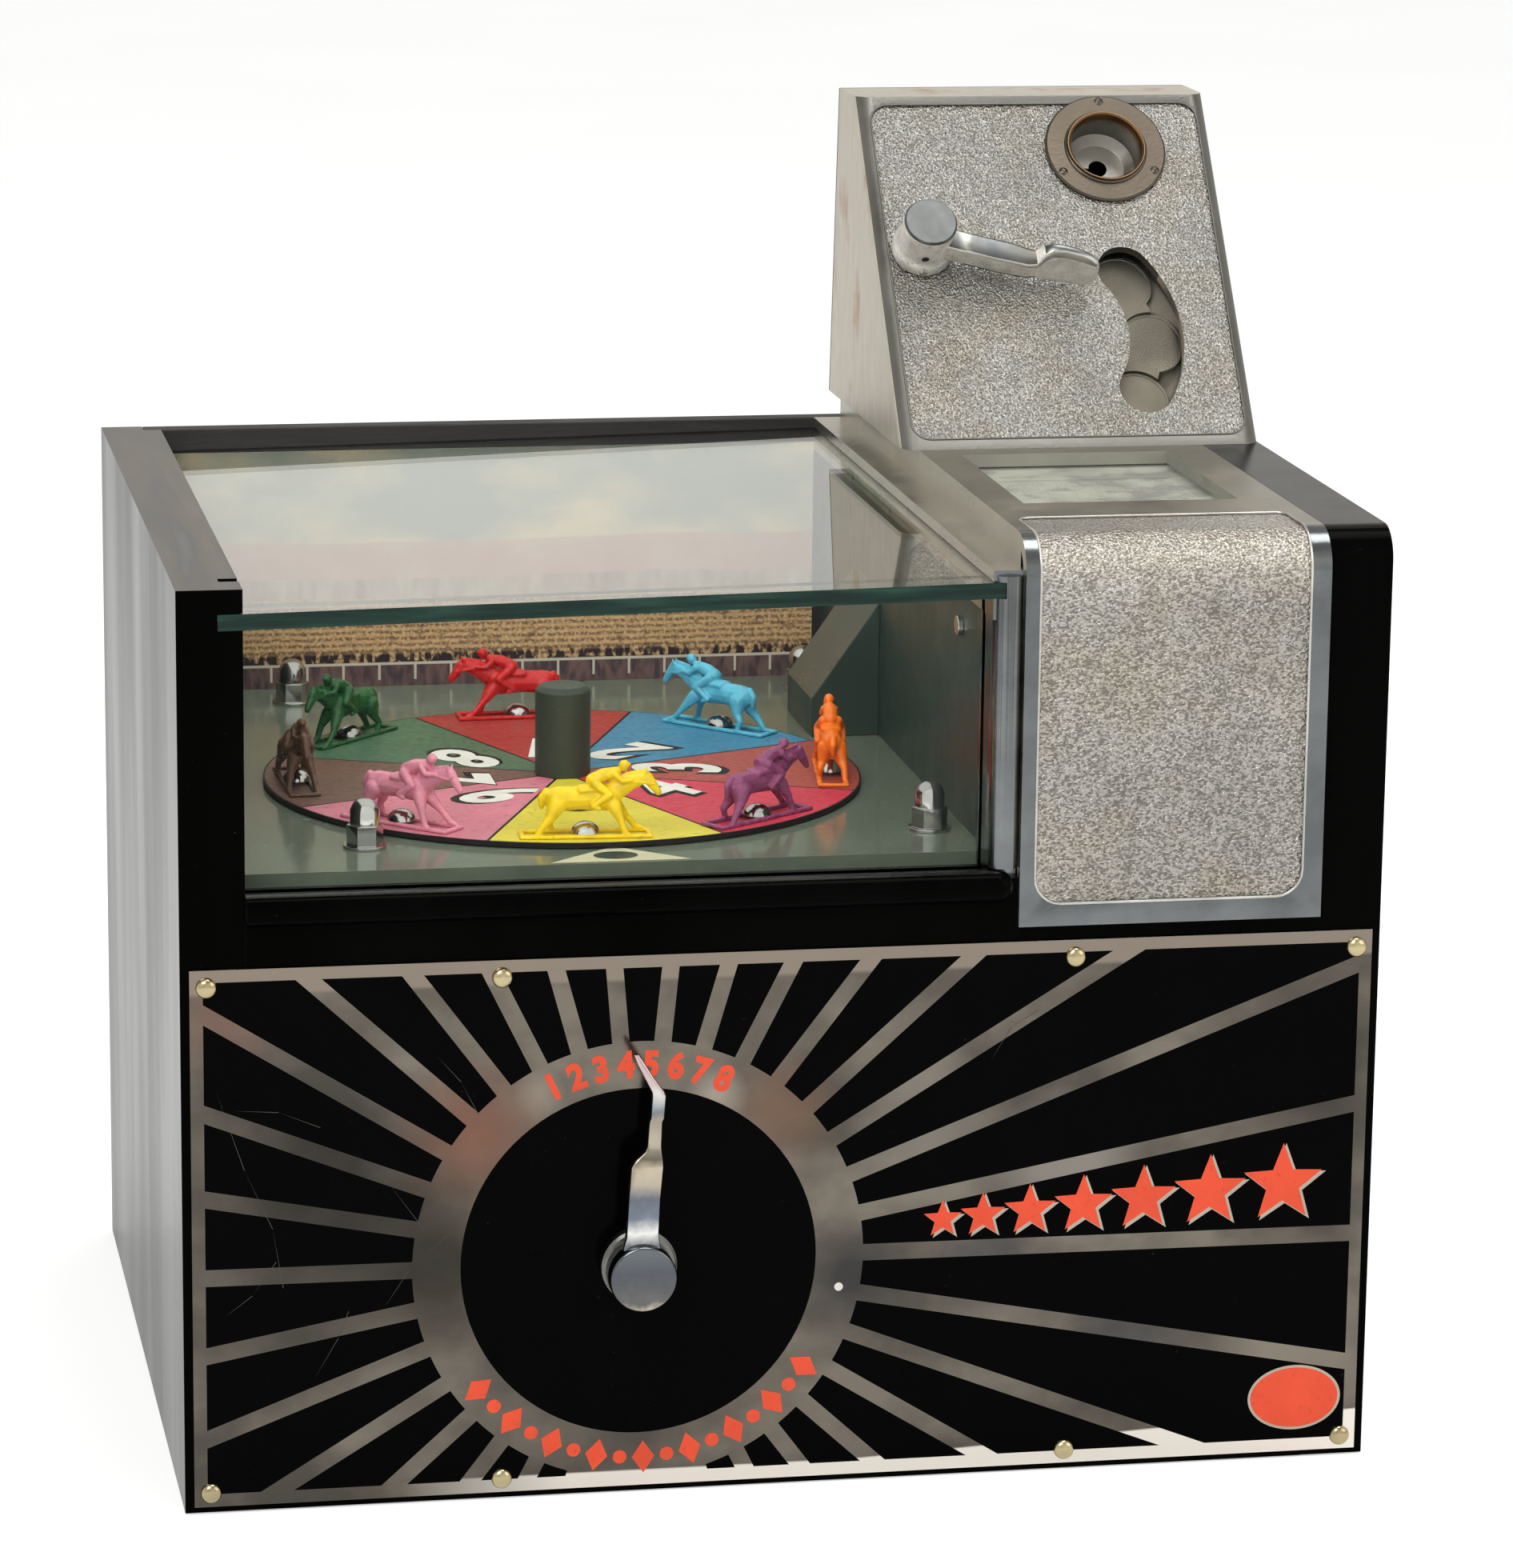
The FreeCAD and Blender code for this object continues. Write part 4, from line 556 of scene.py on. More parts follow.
def flat_piece(name, outlines, paint, body="cabinet", matrix=None):
    """Printed shapes: filled outlines in the local XY plane, each with its height"""
    bm = bmesh.new()
    for points, z in outlines:
        face = bm.faces.new([bm.verts.new((x * MM, y * MM, z * MM)) for x, y in points])
        face.normal_update()
        if face.normal.z < 0:
            face.normal_flip()
    return mesh_piece(name, bm, paint, body, matrix=matrix)


def lathe(bm, profile, segments):
    """Spin an outline of radius and height about the local Z axis"""
    rings = []
    for radius, z in profile:
        points = circle(0, 0, radius, segments) if radius else [(0, 0)]
        rings.append([bm.verts.new((x * MM, y * MM, z * MM)) for x, y in points])
    for low, high in zip(rings, rings[1:]):
        for i in range(segments):
            j = (i + 1) % segments
            corners = [low[i % len(low)], low[j % len(low)], high[j % len(high)], high[i % len(high)]]
            bm.faces.new(list(dict.fromkeys(corners)))


def turned(profile, segments):
    bm = bmesh.new()
    lathe(bm, profile, segments)
    return bm


SECTION_POINTS = 28


def loft(bm, sections):
    """A bar through sections: centre, two half widths as vectors, and how square the section is"""
    rings = []
    for centre, across, out, square in sections:
        ring = []
        for c, s in circle(0, 0, 1, SECTION_POINTS):
            a = math.copysign(abs(c) ** (2 / square), c)
            b = math.copysign(abs(s) ** (2 / square), s)
            ring.append(bm.verts.new((Vector(centre) + Vector(across) * a + Vector(out) * b) * MM))
        rings.append(ring)
    for low, high in zip(rings, rings[1:]):
        for i in range(SECTION_POINTS):
            j = (i + 1) % SECTION_POINTS
            bm.faces.new((low[i], low[j], high[j], high[i]))
    bm.faces.new(rings[-1])
    bm.faces.new(list(reversed(rings[0])))


def curve_piece(name, curve, paint, body="cabinet", matrix=Matrix()):
    """A piece from the mesh of a curve"""
    probe = stand(name + "_curve", curve)
    mesh = bpy.data.meshes.new_from_object(probe)
    bpy.data.objects.remove(probe)
    mesh.transform(matrix)
    repaint(mesh, paint)
    return stand(name, mesh, body)


def number(name, text, size, matrix, paint, body, depth, bold, shear=0.0):
    """A printed number, made bolder by an offset of its outline"""
    curve = bpy.data.curves.new(name, "FONT")
    settle(curve, body=text, size=size * MM, align_x="CENTER", align_y="CENTER", extrude=depth * MM,
           offset=bold * MM, shear=shear, resolution_u=4)
    return curve_piece(name, curve, paint, body, matrix)


def bead(name, points, radius, paint):
    """A thin raised bead along a closed path"""
    curve = bpy.data.curves.new(name, "CURVE")
    settle(curve, dimensions="3D", bevel_depth=radius * MM, bevel_resolution=2)
    spline = curve.splines.new("POLY")
    spline.points.add(len(points) - 1)
    for knot, point in zip(spline.points, points):
        knot.co = (*(Vector(point) * MM), 1)
    spline.use_cyclic_u = True
    curve_piece(name, curve, paint).data.shade_smooth()


# Cabinet boards and well
def board_coat(glossy_top):
    """A rule for boards, with painted light by face direction: side, front, top with painted sheen or glossy
    top
    """
    def choose(c, n):
        if n.z > 0.9 and c.z > 270:
            return 3 if glossy_top else 2
        return 0 if abs(n.x) > 0.7 or n.y > 0.3 or n.z > 0.9 else 1
    return choose


def cabinet():
    coats = ("lacquer_side_painted_light", "lacquer_front_painted_light", "board_top_sheen", "lacquer_top_painted_light")
    for node, glossy_top in (("left_side_panel", False), ("right_side_panel", True), ("front_board", False),
                             ("front_moulding", True)):
        dress(node, coats, 0.7, choose=board_coat(glossy_top))
    dress("base_board", "inside_wood", 0.4)
    dress("upper_back_board", "black_wood", 0.5)
    dress("back_door", "black_wood", 0.6, "door")
    paint_nodes("inside_wood", "deck_cleats")


def well():
    dress("well_floor", "well_floor_enamel", 0.3)
    dress("well_liner_right", "well_wall_enamel", 0.4)
    # Painted light: the guard's upward faces lighter than its walls
    dress("corner_guard", ("well_wall_enamel", "guard_enamel_lit_top"), 0.4,
          choose=lambda c, n: 1 if n.z > 0.2 else 0)
    dress("acorn_nuts", "bright_steel", 0.25, smooth=40)
    dress("liner_screw", "bright_steel", 0.3)
    marker = [(-68, -119.5), (-26, -119.5), (-46.5, -101.5)]
    flat_piece("floor_marker", [(marker, WELL_FLOOR + 0.06)], "cream_print")
    oval = circle(-47.5, -112.4, 6.6, 32, 4.6)
    flat_piece("floor_marker_oval", [(oval, WELL_FLOOR + 0.12)], "green_print")
    dress("backdrop_card", "country_print", 0)


def glasses():
    """Panes with clear faces, across the given axis, and green edges"""
    for node, axis, pane in (("top_glass", 2, "top_glass"), ("front_glass", 1, "front_glass"),
                             ("card_glass", 2, "small_glass")):
        dress(node, (pane, "glass_edge"), 0,
              choose=lambda c, n, axis=axis: 0 if abs(n[axis]) > 0.7 else 1)
    dress("kidney_glass", "small_glass", 0)
    dress("award_card", "card_print", 0)
    paint_nodes("tin_tray", "card_tray")


# Plate with rays, ring, numbers and plain ornament, drawn in its own X and Z
RAYS = 34
FIRST_RAY = -0.3
HALF_RAY = 2.55
RING = 67.0
DARK = 52.8
POINTER_HOLE = 7.6
NUMBERS_AT = 59.7
MARKS_AT = 60.4
BADGE = (156, 19)
LEFT, RIGHT, LOW, HIGH = -171.5, 171.6, 5.9, 160.3
CORNERS = {(0, 1): (RIGHT, HIGH), (1, 2): (LEFT, HIGH), (2, 3): (LEFT, LOW), (3, 0): (RIGHT, LOW)}


def from_ring(radius, angle):
    """The point at a distance and an angle from the ring's middle"""
    return RING_CENTRE[0] + radius * math.cos(angle), RING_CENTRE[1] + radius * math.sin(angle)


def to_border(x, z, dx, dz):
    """How far a line runs before it leaves the field, and over which side: right, top, left or foot"""
    sides = ((RIGHT, x, dx, 1), (HIGH, z, dz, 1), (LEFT, x, dx, -1), (LOW, z, dz, -1))
    return min(((edge - start) / step, side)
               for side, (edge, start, step, way) in enumerate(sides) if step * way > 1e-9)


def ray_side(angle, offset):
    """One long side of a ray: its ends on the ring and on the border, the border's side, its length"""
    c, s = math.cos(angle), math.sin(angle)
    reach = math.sqrt(RING * RING - offset * offset)
    x = RING_CENTRE[0] + c * reach - s * offset
    z = RING_CENTRE[1] + s * reach + c * offset
    run, side = to_border(x, z, c, s)
    return (x, z), (x + c * run, z + s * run), side, run


def black_field(k):
    """The outline between a ray and the next, or nothing where they leave no room"""
    step = 2 * math.pi / RAYS
    angle = math.radians(FIRST_RAY) + k * step
    near, far, side, run = ray_side(angle, HALF_RAY)
    next_near, next_far, next_side, next_run = ray_side(angle + step, -HALF_RAY)
    if run < 0.3 or next_run < 0.3:
        return None
    corner = [CORNERS[side, next_side]] if side != next_side else []
    start = math.atan2(next_near[1] - RING_CENTRE[1], next_near[0] - RING_CENTRE[0])
    end = math.atan2(near[1] - RING_CENTRE[1], near[0] - RING_CENTRE[0])
    while start < end:
        start += 2 * math.pi
    back = [from_ring(RING, start + (end - start) * i / 6) for i in range(1, 6)]
    return [near, far] + corner + [next_far, next_near] + back


def star(x, z, radius):
    points = []
    for i in range(10):
        angle = math.pi / 2 + i * math.pi / 5
        reach = radius * (0.42 if i % 2 else 1)
        points.append((x + reach * math.cos(angle), z + reach * math.sin(angle)))
    return points


def star_row():
    """Seven growing stars on a rising line, and their shadows"""
    shadows, stars = [], []
    x = 46.5
    for i in range(7):
        radius = 6.0 + i * 1.1
        x += radius * 0.93 if i else 0
        z = 79.8 + (x - 43) * 0.062
        shadows.append((star(x + 0.8, z - 0.6, radius * 1.04), 0.07))
        stars.append((star(x, z, radius), 0.10))
        x += radius * 0.93
    flat_piece("plate_star_shadows", shadows, "pale_line", matrix=FRONT)
    flat_piece("plate_stars", stars, "orange_paint", matrix=FRONT)


def ornament():
    """Diamonds and dots by turns round the foot of the ring, a bare oval and its rim"""
    shapes = []
    for i in range(17):
        angle = math.radians(-142 + i * 107 / 16)
        x, z = from_ring(MARKS_AT, angle)
        c, s = math.cos(angle), math.sin(angle)
        diamond = [(x + c * 5, z + s * 5), (x - s * 3.4, z + c * 3.4), (x - c * 5, z - s * 5),
                   (x + s * 3.4, z - c * 3.4)]
        shapes.append((circle(x, z, 2.1, 16) if i % 2 else diamond, 0.07))
    shapes.append((circle(*BADGE, 13.6, 48, 9.4), 0.12))
    flat_piece("plate_ornament", shapes, "orange_paint", matrix=FRONT)
    flat_piece("plate_oval_rim", [(circle(*BADGE, 14.4, 48, 10.2), 0.09)], "pale_line", matrix=FRONT)


SCRATCHES = (
    ((-168, 128), (-160, 104), (-152, 86), (-149, 68)), ((-128, 108), (-118, 98), (-108, 84)),
    ((-163, 122), (-150, 121), (-138, 116)), ((-120, 60), (-112, 72), (-101, 82)),
    ((-166, 60), (-158, 66), (-151, 76)), ((-104, 136), (-97, 128), (-92, 118)),
    ((-140, 40), (-133, 52), (-130, 60)), ((60, 128), (66, 138), (74, 143)))


def wear():
    """A pale fleck on the ring and thin scratches in the black"""
    flat_piece("plate_fleck", [(circle(15.4, 60.6, 1.3, 16), 0.08)], "white_print", matrix=FRONT)
    marks = []
    for path in SCRATCHES:
        for (ax, az), (bx, bz) in zip(path, path[1:]):
            run = math.hypot(bx - ax, bz - az)
            nx, nz = -(bz - az) / run * 0.09, (bx - ax) / run * 0.09
            marks.append(([(ax, az), (bx - nx, bz - nz), (bx + nx, bz + nz)], 0.05))
    flat_piece("plate_scratches", marks, "scratch_mark", matrix=FRONT)


def plate():
    dress("sunburst_plate", "plate", 0.3)
    disc = circle(*RING_CENTRE, DARK, 96)
    hole = circle(*RING_CENTRE, POINTER_HOLE, 96)
    fields = [points for points in map(black_field, range(RAYS)) if points]
    fields += zip(disc, disc[1:] + disc[:1], hole[1:] + hole[:1], hole)
    flat_piece("plate_enamel", [(points, 0.03) for points in fields], "enamel_black", matrix=FRONT)
    for i in range(8):
        angle = math.radians(115.4 - 7.1 * i)
        matrix = FRONT @ at(*from_ring(NUMBERS_AT, angle), 0.05) @ spun(angle - math.pi / 2) @ widened(0.9)
        number("plate_number_%d" % (i + 1), str(i + 1), 10.6, matrix, "orange_paint", "cabinet", 0.03, 0.52)
    star_row()
    ornament()
    wear()
    round_head = [(0, -8), (1.4, -8), (1.4, 0), (3.1, 0), (3.0, 0.6), (2.5, 1.3), (1.6, 1.75), (0.7, 1.9),
                  (0, 1.9)]
    spots = [(side * x, z) for side in (1, -1) for x in (85, 170.5) for z in (6.3, 158.8)]
    for i, spot in enumerate(spots):
        screw = mesh_piece("plate_screw_%d" % (i + 1), turned(round_head, 28), "brass_screws",
                           smooth=50, matrix=FRONT @ at(*spot))
        if i == 0:
            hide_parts("plate_screws")


# Casting at the right
def cast_face(c, n):
    """Stippled ground on the front and up the bend, brownish satin on the top, polish elsewhere"""
    ground = 71.9 < c.x < 153.1 and c.z > 175 and (n.y < -0.1 or n.z > 0.1)
    # Painted light: the window's inner walls in a pale matt tone that lifts their shade
    if 78 < c.x < 146 and -88 < c.y < -1 and c.z < 284.4 and abs(n.z) < 0.1:
        return 3
    if ground and -141.6 < c.y < -141.2 and c.z < 272.6:
        return 1
    if ground and c.z >= 272.4 and c.y < -128 and math.hypot(c.y + 129.8, c.z - 272.5) < 11.7:
        return 1
    if ground and 283 < c.z < 284.3 and c.y < -108 and n.z > 0.9:
        return 1
    if c.y > -129 and c.z > 258 and (n.x < -0.3 or n.z > 0.3 and c.z < 276):
        return 4
    return 2 if c.z > 273 and c.y > -129 and n.z > 0.3 else 0


def casting():
    """The casting, with a bead that runs round its stippled ground from foot to top"""
    dress("front_casting", ("polished_aluminium", "front_stipple", "satin_aluminium", "window_wall_painted_light",
                            "satin_rail"), 0.8, choose=cast_face)
    foot = [(x + 8 * math.cos(t), -141.75, 183.2 + 8 * math.sin(t))
            for x, start in ((80, 180), (145, 270)) for t in arc(start, 15, 7)]
    bend = [(72, -129.8 - 11.95 * math.cos(t), 272.5 + 11.95 * math.sin(t)) for t in arc(0, 11.25, 9)]
    curl = [(72 + 3 * (1 - math.cos(t)), -113.2 + 3 * math.sin(t), 284.4) for t in arc(0, 15, 7)]
    left = bend + curl
    right = [(225 - x, y, z) for x, y, z in left]
    bead("front_bead", foot + right + left[::-1], 0.42, "wear_and_highlight_ridge")


# Coin head
def head_face(c, n):
    """Stipple on the sunk ground of the panel, stained casting on the sides and top, satin elsewhere"""
    above = (c.z - CAST_TOP) * math.sin(LEAN) - (c.y - HEAD_FOOT_Y) * math.cos(LEAN)
    if n.y < -0.7 and n.z > 0.5 and 66 < c.x < 174.3 and abs(above + PANEL_SUNK) < 0.15:
        return 1
    return 2 if abs(n.x) > 0.9 or n.z > 0.99 else 0


BEZEL = (
    ("bezel_flange", [(13.4, 0.2), (19.8, 0.2), (19.8, 1.0), (19.2, 1.5), (13.6, 1.5)], "bronze"),
    ("bezel_slope", [(13.7, 1.4), (13.5, 1.9), (13.0, 2.2), (12.85, 2.9)], "bronze"),
    ("bezel_lip", [(12.85, 2.85), (12.7, 3.05), (12.45, 3.05), (12.3, 2.85)], "bronze_rim"),
    ("bezel_wall", [(12.35, 2.9), (11.95, 2.6), (11.7, 1.9), (11.66, 0), (11.68, -8.6)], "bronze_wall"))


def coin_head():
    dress("coin_head", ("satin_border", "head_stipple", "side_wall"), 0.9,
          choose=head_face)
    corners = ((168.2, 121.1, 0), (72.1, 121.1, 90), (72.1, 9.8, 180), (168.2, 9.8, 270))
    rim = [(x + 6 * math.cos(t), y + 6 * math.sin(t), -0.05)
           for x, y, start in corners for t in arc(start, 15, 7)]
    bead("head_bead", [PANEL @ (Vector(point) * MM) / MM for point in rim], 0.34, "satin_border")
    dress("head_back_cover", "black_sheet", 0.3)
    for name, profile, paint in BEZEL:
        ring = mesh_piece(name, turned(profile, 96), paint, smooth=25,
                          matrix=PANEL @ at(*ENTRY, -PANEL_SUNK))
        if name == "bezel_flange":
            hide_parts("coin_bezel")
    dress("bezel_rivets", "bronze", 0)
    dress("coin_cup", "spun_dish", 0.3)
    dress("coin_track", "worn_tokens", 0)
    dress("coin_wheel", "worn_tokens", 0, "coin_carrier")
    dress("coins", "worn_tokens", 0.1, "coin_carrier")


# Levers: a turned hub with a bar that swells and narrows
LEVER_HUB = [(0, 0.3), (9.4, 0.3), (9.8, 0.8), (9.8, 3.6), (9.2, 4.4), (8.7, 5.2), (8.5, 6), (8.5, 17.2),
             (8.15, 17.75), (7.9, 18), (7.7, 18), (0, 18)]
# Centre, half width along the panel, lean, half thickness, squareness
LEVER_BAR = (
    (-1, -0.6, 9.2, 4.3, 0, 4, 8), (5, -2.4, 9.2, 4.2, 0, 4, 8), (11.5, -4.6, 8.9, 3.9, 0, 4.1, 8),
    (20.5, -7.3, 8.9, 4.05, 0, 4.1, 8), (26.5, -8.9, 8.9, 4.1, 0, 4.1, 7), (31, -10.2, 8.7, 3.8, 0, 3.8, 6),
    (34, -10.6, 8.7, 3.4, 0.2, 3.7, 4.5), (36.5, -10.4, 9.2, 2.7, 1.1, 5.5, 4),
    (39, -10.4, 9.4, 2.2, 1.5, 6.7, 4), (42.6, -10.8, 9.2, 2.0, 1.55, 7.0, 4),
    (47.8, -12.1, 9.0, 1.9, 1.5, 6.8, 4), (50.9, -13, 8.8, 1.8, 1.4, 6.3, 3.6),
    (53.2, -13.2, 8.8, 1.5, 1.1, 4.9, 3), (54.3, -13, 9.0, 0.9, 0.5, 2.8, 2.6))
COLLAR = [(0, 0.3), (10.8, 0.3), (11.2, 0.8), (11.2, 4.2), (10.4, 5), (9, 5.2)]
KNOB = [(0, 5.1), (9.7, 5.1), (9.9, 5.4), (9.9, 13.9), (9.6, 14.5), (9.2, 14.8), (9.0, 14.8), (0, 14.8)]
# Centre in X and Y, back and front of the blade, half width, squareness
POINTER_BAR = (
    (-1.2, 4, 8.4, 12.6, 5.4, 7), (-1.1, 8.2, 8.4, 12.6, 5.5, 7), (-1.0, 11.2, 8.4, 12.6, 4.7, 7),
    (-0.5, 21.9, 8.5, 12.4, 4.65, 7), (0.3, 32.2, 8.5, 12.4, 4.7, 7), (0.9, 34.4, 8.5, 11.9, 4.1, 5),
    (2.2, 36.6, 8.3, 11.2, 2.5, 4.5), (2.5, 38, 8.3, 11.1, 2.05, 4.5), (2.9, 45.4, 8.3, 11.1, 1.95, 4.5),
    (3.3, 46.8, 8.5, 11.8, 2.0, 4.5), (3.7, 53.4, 8.5, 11.8, 2.0, 4.5), (3.4, 54.6, 8.5, 11.8, 1.85, 4),
    (0.6, 59.2, 8.7, 11.6, 1.4, 3.5), (-1.6, 63.2, 8.9, 11.4, 1.2, 3), (-3.0, 65.9, 9.4, 11, 0.7, 2.6))


def lever_face(c, n):
    """A painted shadow in the gap under the bar, a painted highlight along its lower edge, pitted on the
    shaded sides
    """
    # Painted shadow: dark steel on the low faces near the panel
    if n.y < -0.1 and c.z < 6.5 and 9 < c.x < 33:
        return 2
    # Painted highlight along the bar's lower edge
    if c.x > 10 and n.y < -0.2 and n.z > 0.3:
        return 3
    return 1 if c.z < 17.2 and (n.y < -0.45 or n.x < -0.5) else 0


def play_lever():
    bm = turned(LEVER_HUB, 64)
    loft(bm, [((x, y, z), (0, half, 0), (0, lean, thick), square)
              for x, y, z, half, lean, thick, square in LEVER_BAR])
    axis = PANEL @ at(*LEVER_AXIS, -PANEL_SUNK)
    handle = mesh_piece("play_lever_looks", bm, ("handle", "pitted", "dark_steel", "wear_and_highlight_ridge"), "lever",
                        38, lever_face, axis)
    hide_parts("play_lever")
    # Painted shade: a dark disc stands in for the screw hole
    hole = turned([(0, 8.45), (1.25, 8.45), (1.25, 8.56), (0, 8.56)], 20)
    mesh_piece("play_lever_screw_hole", hole, "dark_ink", "lever",
               matrix=axis @ at(-1.2, 0, 8.6) @ spun(math.pi / 2, "X"))


def pointer():
    """The pointer, whose knob and collar are both a little off the axis"""
    bm = turned(COLLAR, 72)
    lathe(bm, KNOB, 72)
    for vert in bm.verts:
        vert.co += Vector((-0.9, -1.0, 0) if vert.co.z > 5.05 * MM else (-0.6, -0.2, 0)) * MM
    loft(bm, [((x, y, (low + high) / 2), (half, 0, 0), (0, 0, (high - low) / 2), square)
              for x, y, low, high, half, square in POINTER_BAR])
    hand = mesh_piece("pointer_looks", bm, ("pointer", "turned_aluminium"), "pointer", 38,
                      lambda c, n: 1 if c.z < 5.2 and c.xy.length < 13 else 0, FRONT @ at(*RING_CENTRE))
    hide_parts("pointer_lever")


def set_screws():
    for body in ("lever", "pointer"):
        dress(body + "_set_screw", "bright_steel", 0, body=body)


# Carousel: disc of eight sectors, numbers, post, horses
SECTOR_EDGE = 91.9
SECTOR_TIP = 9


def sector(i):
    """One coloured sector, a hair narrower than an eighth so that the dark disc shows as a line"""
    middle = 90 - 45 * i
    wide, narrow = (22.5 - math.degrees(0.45 / radius) for radius in (SECTOR_EDGE, SECTOR_TIP))
    corners = [(SECTOR_EDGE, wide * k / 6) for k in range(-6, 7)]
    corners += [(SECTOR_TIP, narrow), (SECTOR_TIP, -narrow)]
    turns = [(radius, math.radians(middle + angle)) for radius, angle in corners]
    points = [(radius * math.cos(t), radius * math.sin(t)) for radius, t in turns]
    flat_piece("sector_%d" % (i + 1), [(points, 0.03)], "sector_paint_%d" % (i + 1), "carousel", DISC)
    outward = DISC @ spun(math.radians(middle) + math.pi / 2)
    for tag, x, y, lift, paint, bold in (("shadow", -1.2, -38.5, 0.08, "dark_ink", 2.4),
                                         ("print", 0, -37.5, 0.14, "white_print", 1.1)):
        number("sector_%s_%d" % (tag, i + 1), str(i + 1), 36, outward @ at(x, y, lift) @ widened(0.8), paint,
               "carousel", 0.02, bold, 0.25)


def capsule(bm, ball, other, flat):
    """A tapered limb between two balls of x, y, z and radius"""
    part = bmesh.new()
    for x, y, z, radius in (ball, other):
        bmesh.ops.create_icosphere(part, subdivisions=2, radius=radius,
                                   matrix=Matrix.Translation((x, y, z)) @ Matrix.Diagonal((1, flat, 1, 1)))
    hull = bmesh.ops.convex_hull(part, input=part.verts)
    loose = [g for g in hull["geom_interior"] if isinstance(g, bmesh.types.BMVert)]
    bmesh.ops.delete(part, geom=loose, context="VERTS")
    mesh = as_mesh("limb", part)
    bm.from_mesh(mesh)
    bpy.data.meshes.remove(mesh)


def horse_mesh(name):
    """A striding horse with a crouching rider on an open frame, joined into one cast figure"""
    bm = bmesh.new()

    def limb(*balls, flat=1.0):
        for ball, other in zip(balls, balls[1:]):
            capsule(bm, ball, other, flat)

    # Barrel, neck, head, mane, tail
    limb((-8.5, 0, 11.2, 3.9), (-2, 0, 11.5, 3.6), (6.4, 0, 11.5, 4.1), flat=0.88)
    limb((7.8, 0, 13.0, 3.4), (13.2, 0, 16.0, 2.5), (17.2, 0, 17.4, 1.9), flat=0.68)
    limb((18.2, 0, 17.5, 1.8), (20.6, 0, 14.3, 1.35), (21.6, 0, 12.9, 1.05), flat=0.78)
    limb((7.6, 0, 16.4, 0.6), (12.4, 0, 18.4, 0.9), (16.8, 0, 19.4, 0.7), flat=0.6)
    limb((-11.6, 0, 13.6, 1.2), (-13.2, 0, 11.6, 1.1), (-13.0, 0, 8.8, 0.7))
    # Ears, reins, arms and legs of the rider
    for side in (-1, 1):
        limb((17.8, 0.8 * side, 18.8, 0.6), (18.2, 1.0 * side, 20.3, 0.22))
        limb((20.2, 0.8 * side, 15.6, 0.5), (10.8, 1.8 * side, 16.9, 0.28))
        limb((8.6, 1.8 * side, 18.8, 1.0), (10.6, 2.3 * side, 16.9, 0.85), (13.4, 1.6 * side, 17.0, 0.7))
        limb((2.6, 2.2 * side, 16.2, 1.6), (6.8, 3.8 * side, 13.2, 1.2), (2.0, 4.0 * side, 9.8, 0.9),
             (3.8, 4.1 * side, 9.0, 0.7))
    # Four legs of the horse
    limb((8.2, -1.8, 9.6, 2.3), (10.2, -3.4, 5.5, 1.15), (11.5, -3.8, 1.6, 0.95), (12.4, -3.9, 1.2, 0.8))
    limb((8.4, 1.8, 9.6, 2.3), (12.4, 3.4, 5, 1.05), (15.4, 3.8, 1.7, 0.9), (17.0, 3.9, 1.3, 0.8))
    limb((-8.6, -1.8, 10, 3.0), (-10.6, -3.0, 6.2, 1.6), (-12.6, -3.7, 4.0, 1.1), (-14.4, -3.8, 1.4, 0.95))
    limb((-8.4, 1.8, 10, 3.0), (-9.2, 3.0, 6, 1.5), (-10.8, 3.7, 4, 1.05), (-9.8, 3.8, 1.4, 0.9))
    # Back, head, cap and saddle
    limb((2.0, 0, 16.8, 2.1), (5.3, 0, 18.4, 2.0), (8.8, 0, 19.1, 1.75), flat=1.1)
    limb((11.2, 0, 21.0, 1.55), (11.4, 0, 21.3, 1.6))
    limb((11.6, 0, 21.9, 1.0), (13.0, 0, 21.5, 0.5))
    limb((-1.6, 0, 14.2, 1.4), (4.6, 0, 14.4, 1.4), flat=2.4)
    # Frame under the hooves
    long_bar, cross_bar = (39.4, 1.6, 1.15), (1.6, 9.4, 1.15)
    for size, x, y in ((long_bar, 0, 4.0), (long_bar, 0, -4.0), (cross_bar, 18.9, 0), (cross_bar, -18.9, 0)):
        part = bmesh.ops.create_cube(bm, size=1.0)["verts"]
        bmesh.ops.scale(bm, vec=size, verts=part)
        bmesh.ops.translate(bm, vec=(x, y, 0.62), verts=part)
    bmesh.ops.scale(bm, vec=(MM, MM, MM), verts=bm.verts)
    return cast_in_one(stand(name + "_rough", as_mesh(name, bm)), name)


def cast_in_one(rough, name):
    """The joined, softened and lightened mesh of a figure made of overlapping limbs"""
    steps = rough.modifiers
    settle(steps.new("cast", "REMESH"), mode="VOXEL", voxel_size=0.30 * MM, use_smooth_shade=True)
    settle(steps.new("soft", "SMOOTH"), factor=0.5, iterations=2)
    settle(steps.new("fewer", "DECIMATE"), ratio=0.4)
    depsgraph = bpy.context.evaluated_depsgraph_get()
    result = bpy.data.meshes.new_from_object(rough.evaluated_get(depsgraph))
    bpy.data.objects.remove(rough)
    result.name = name
    return result


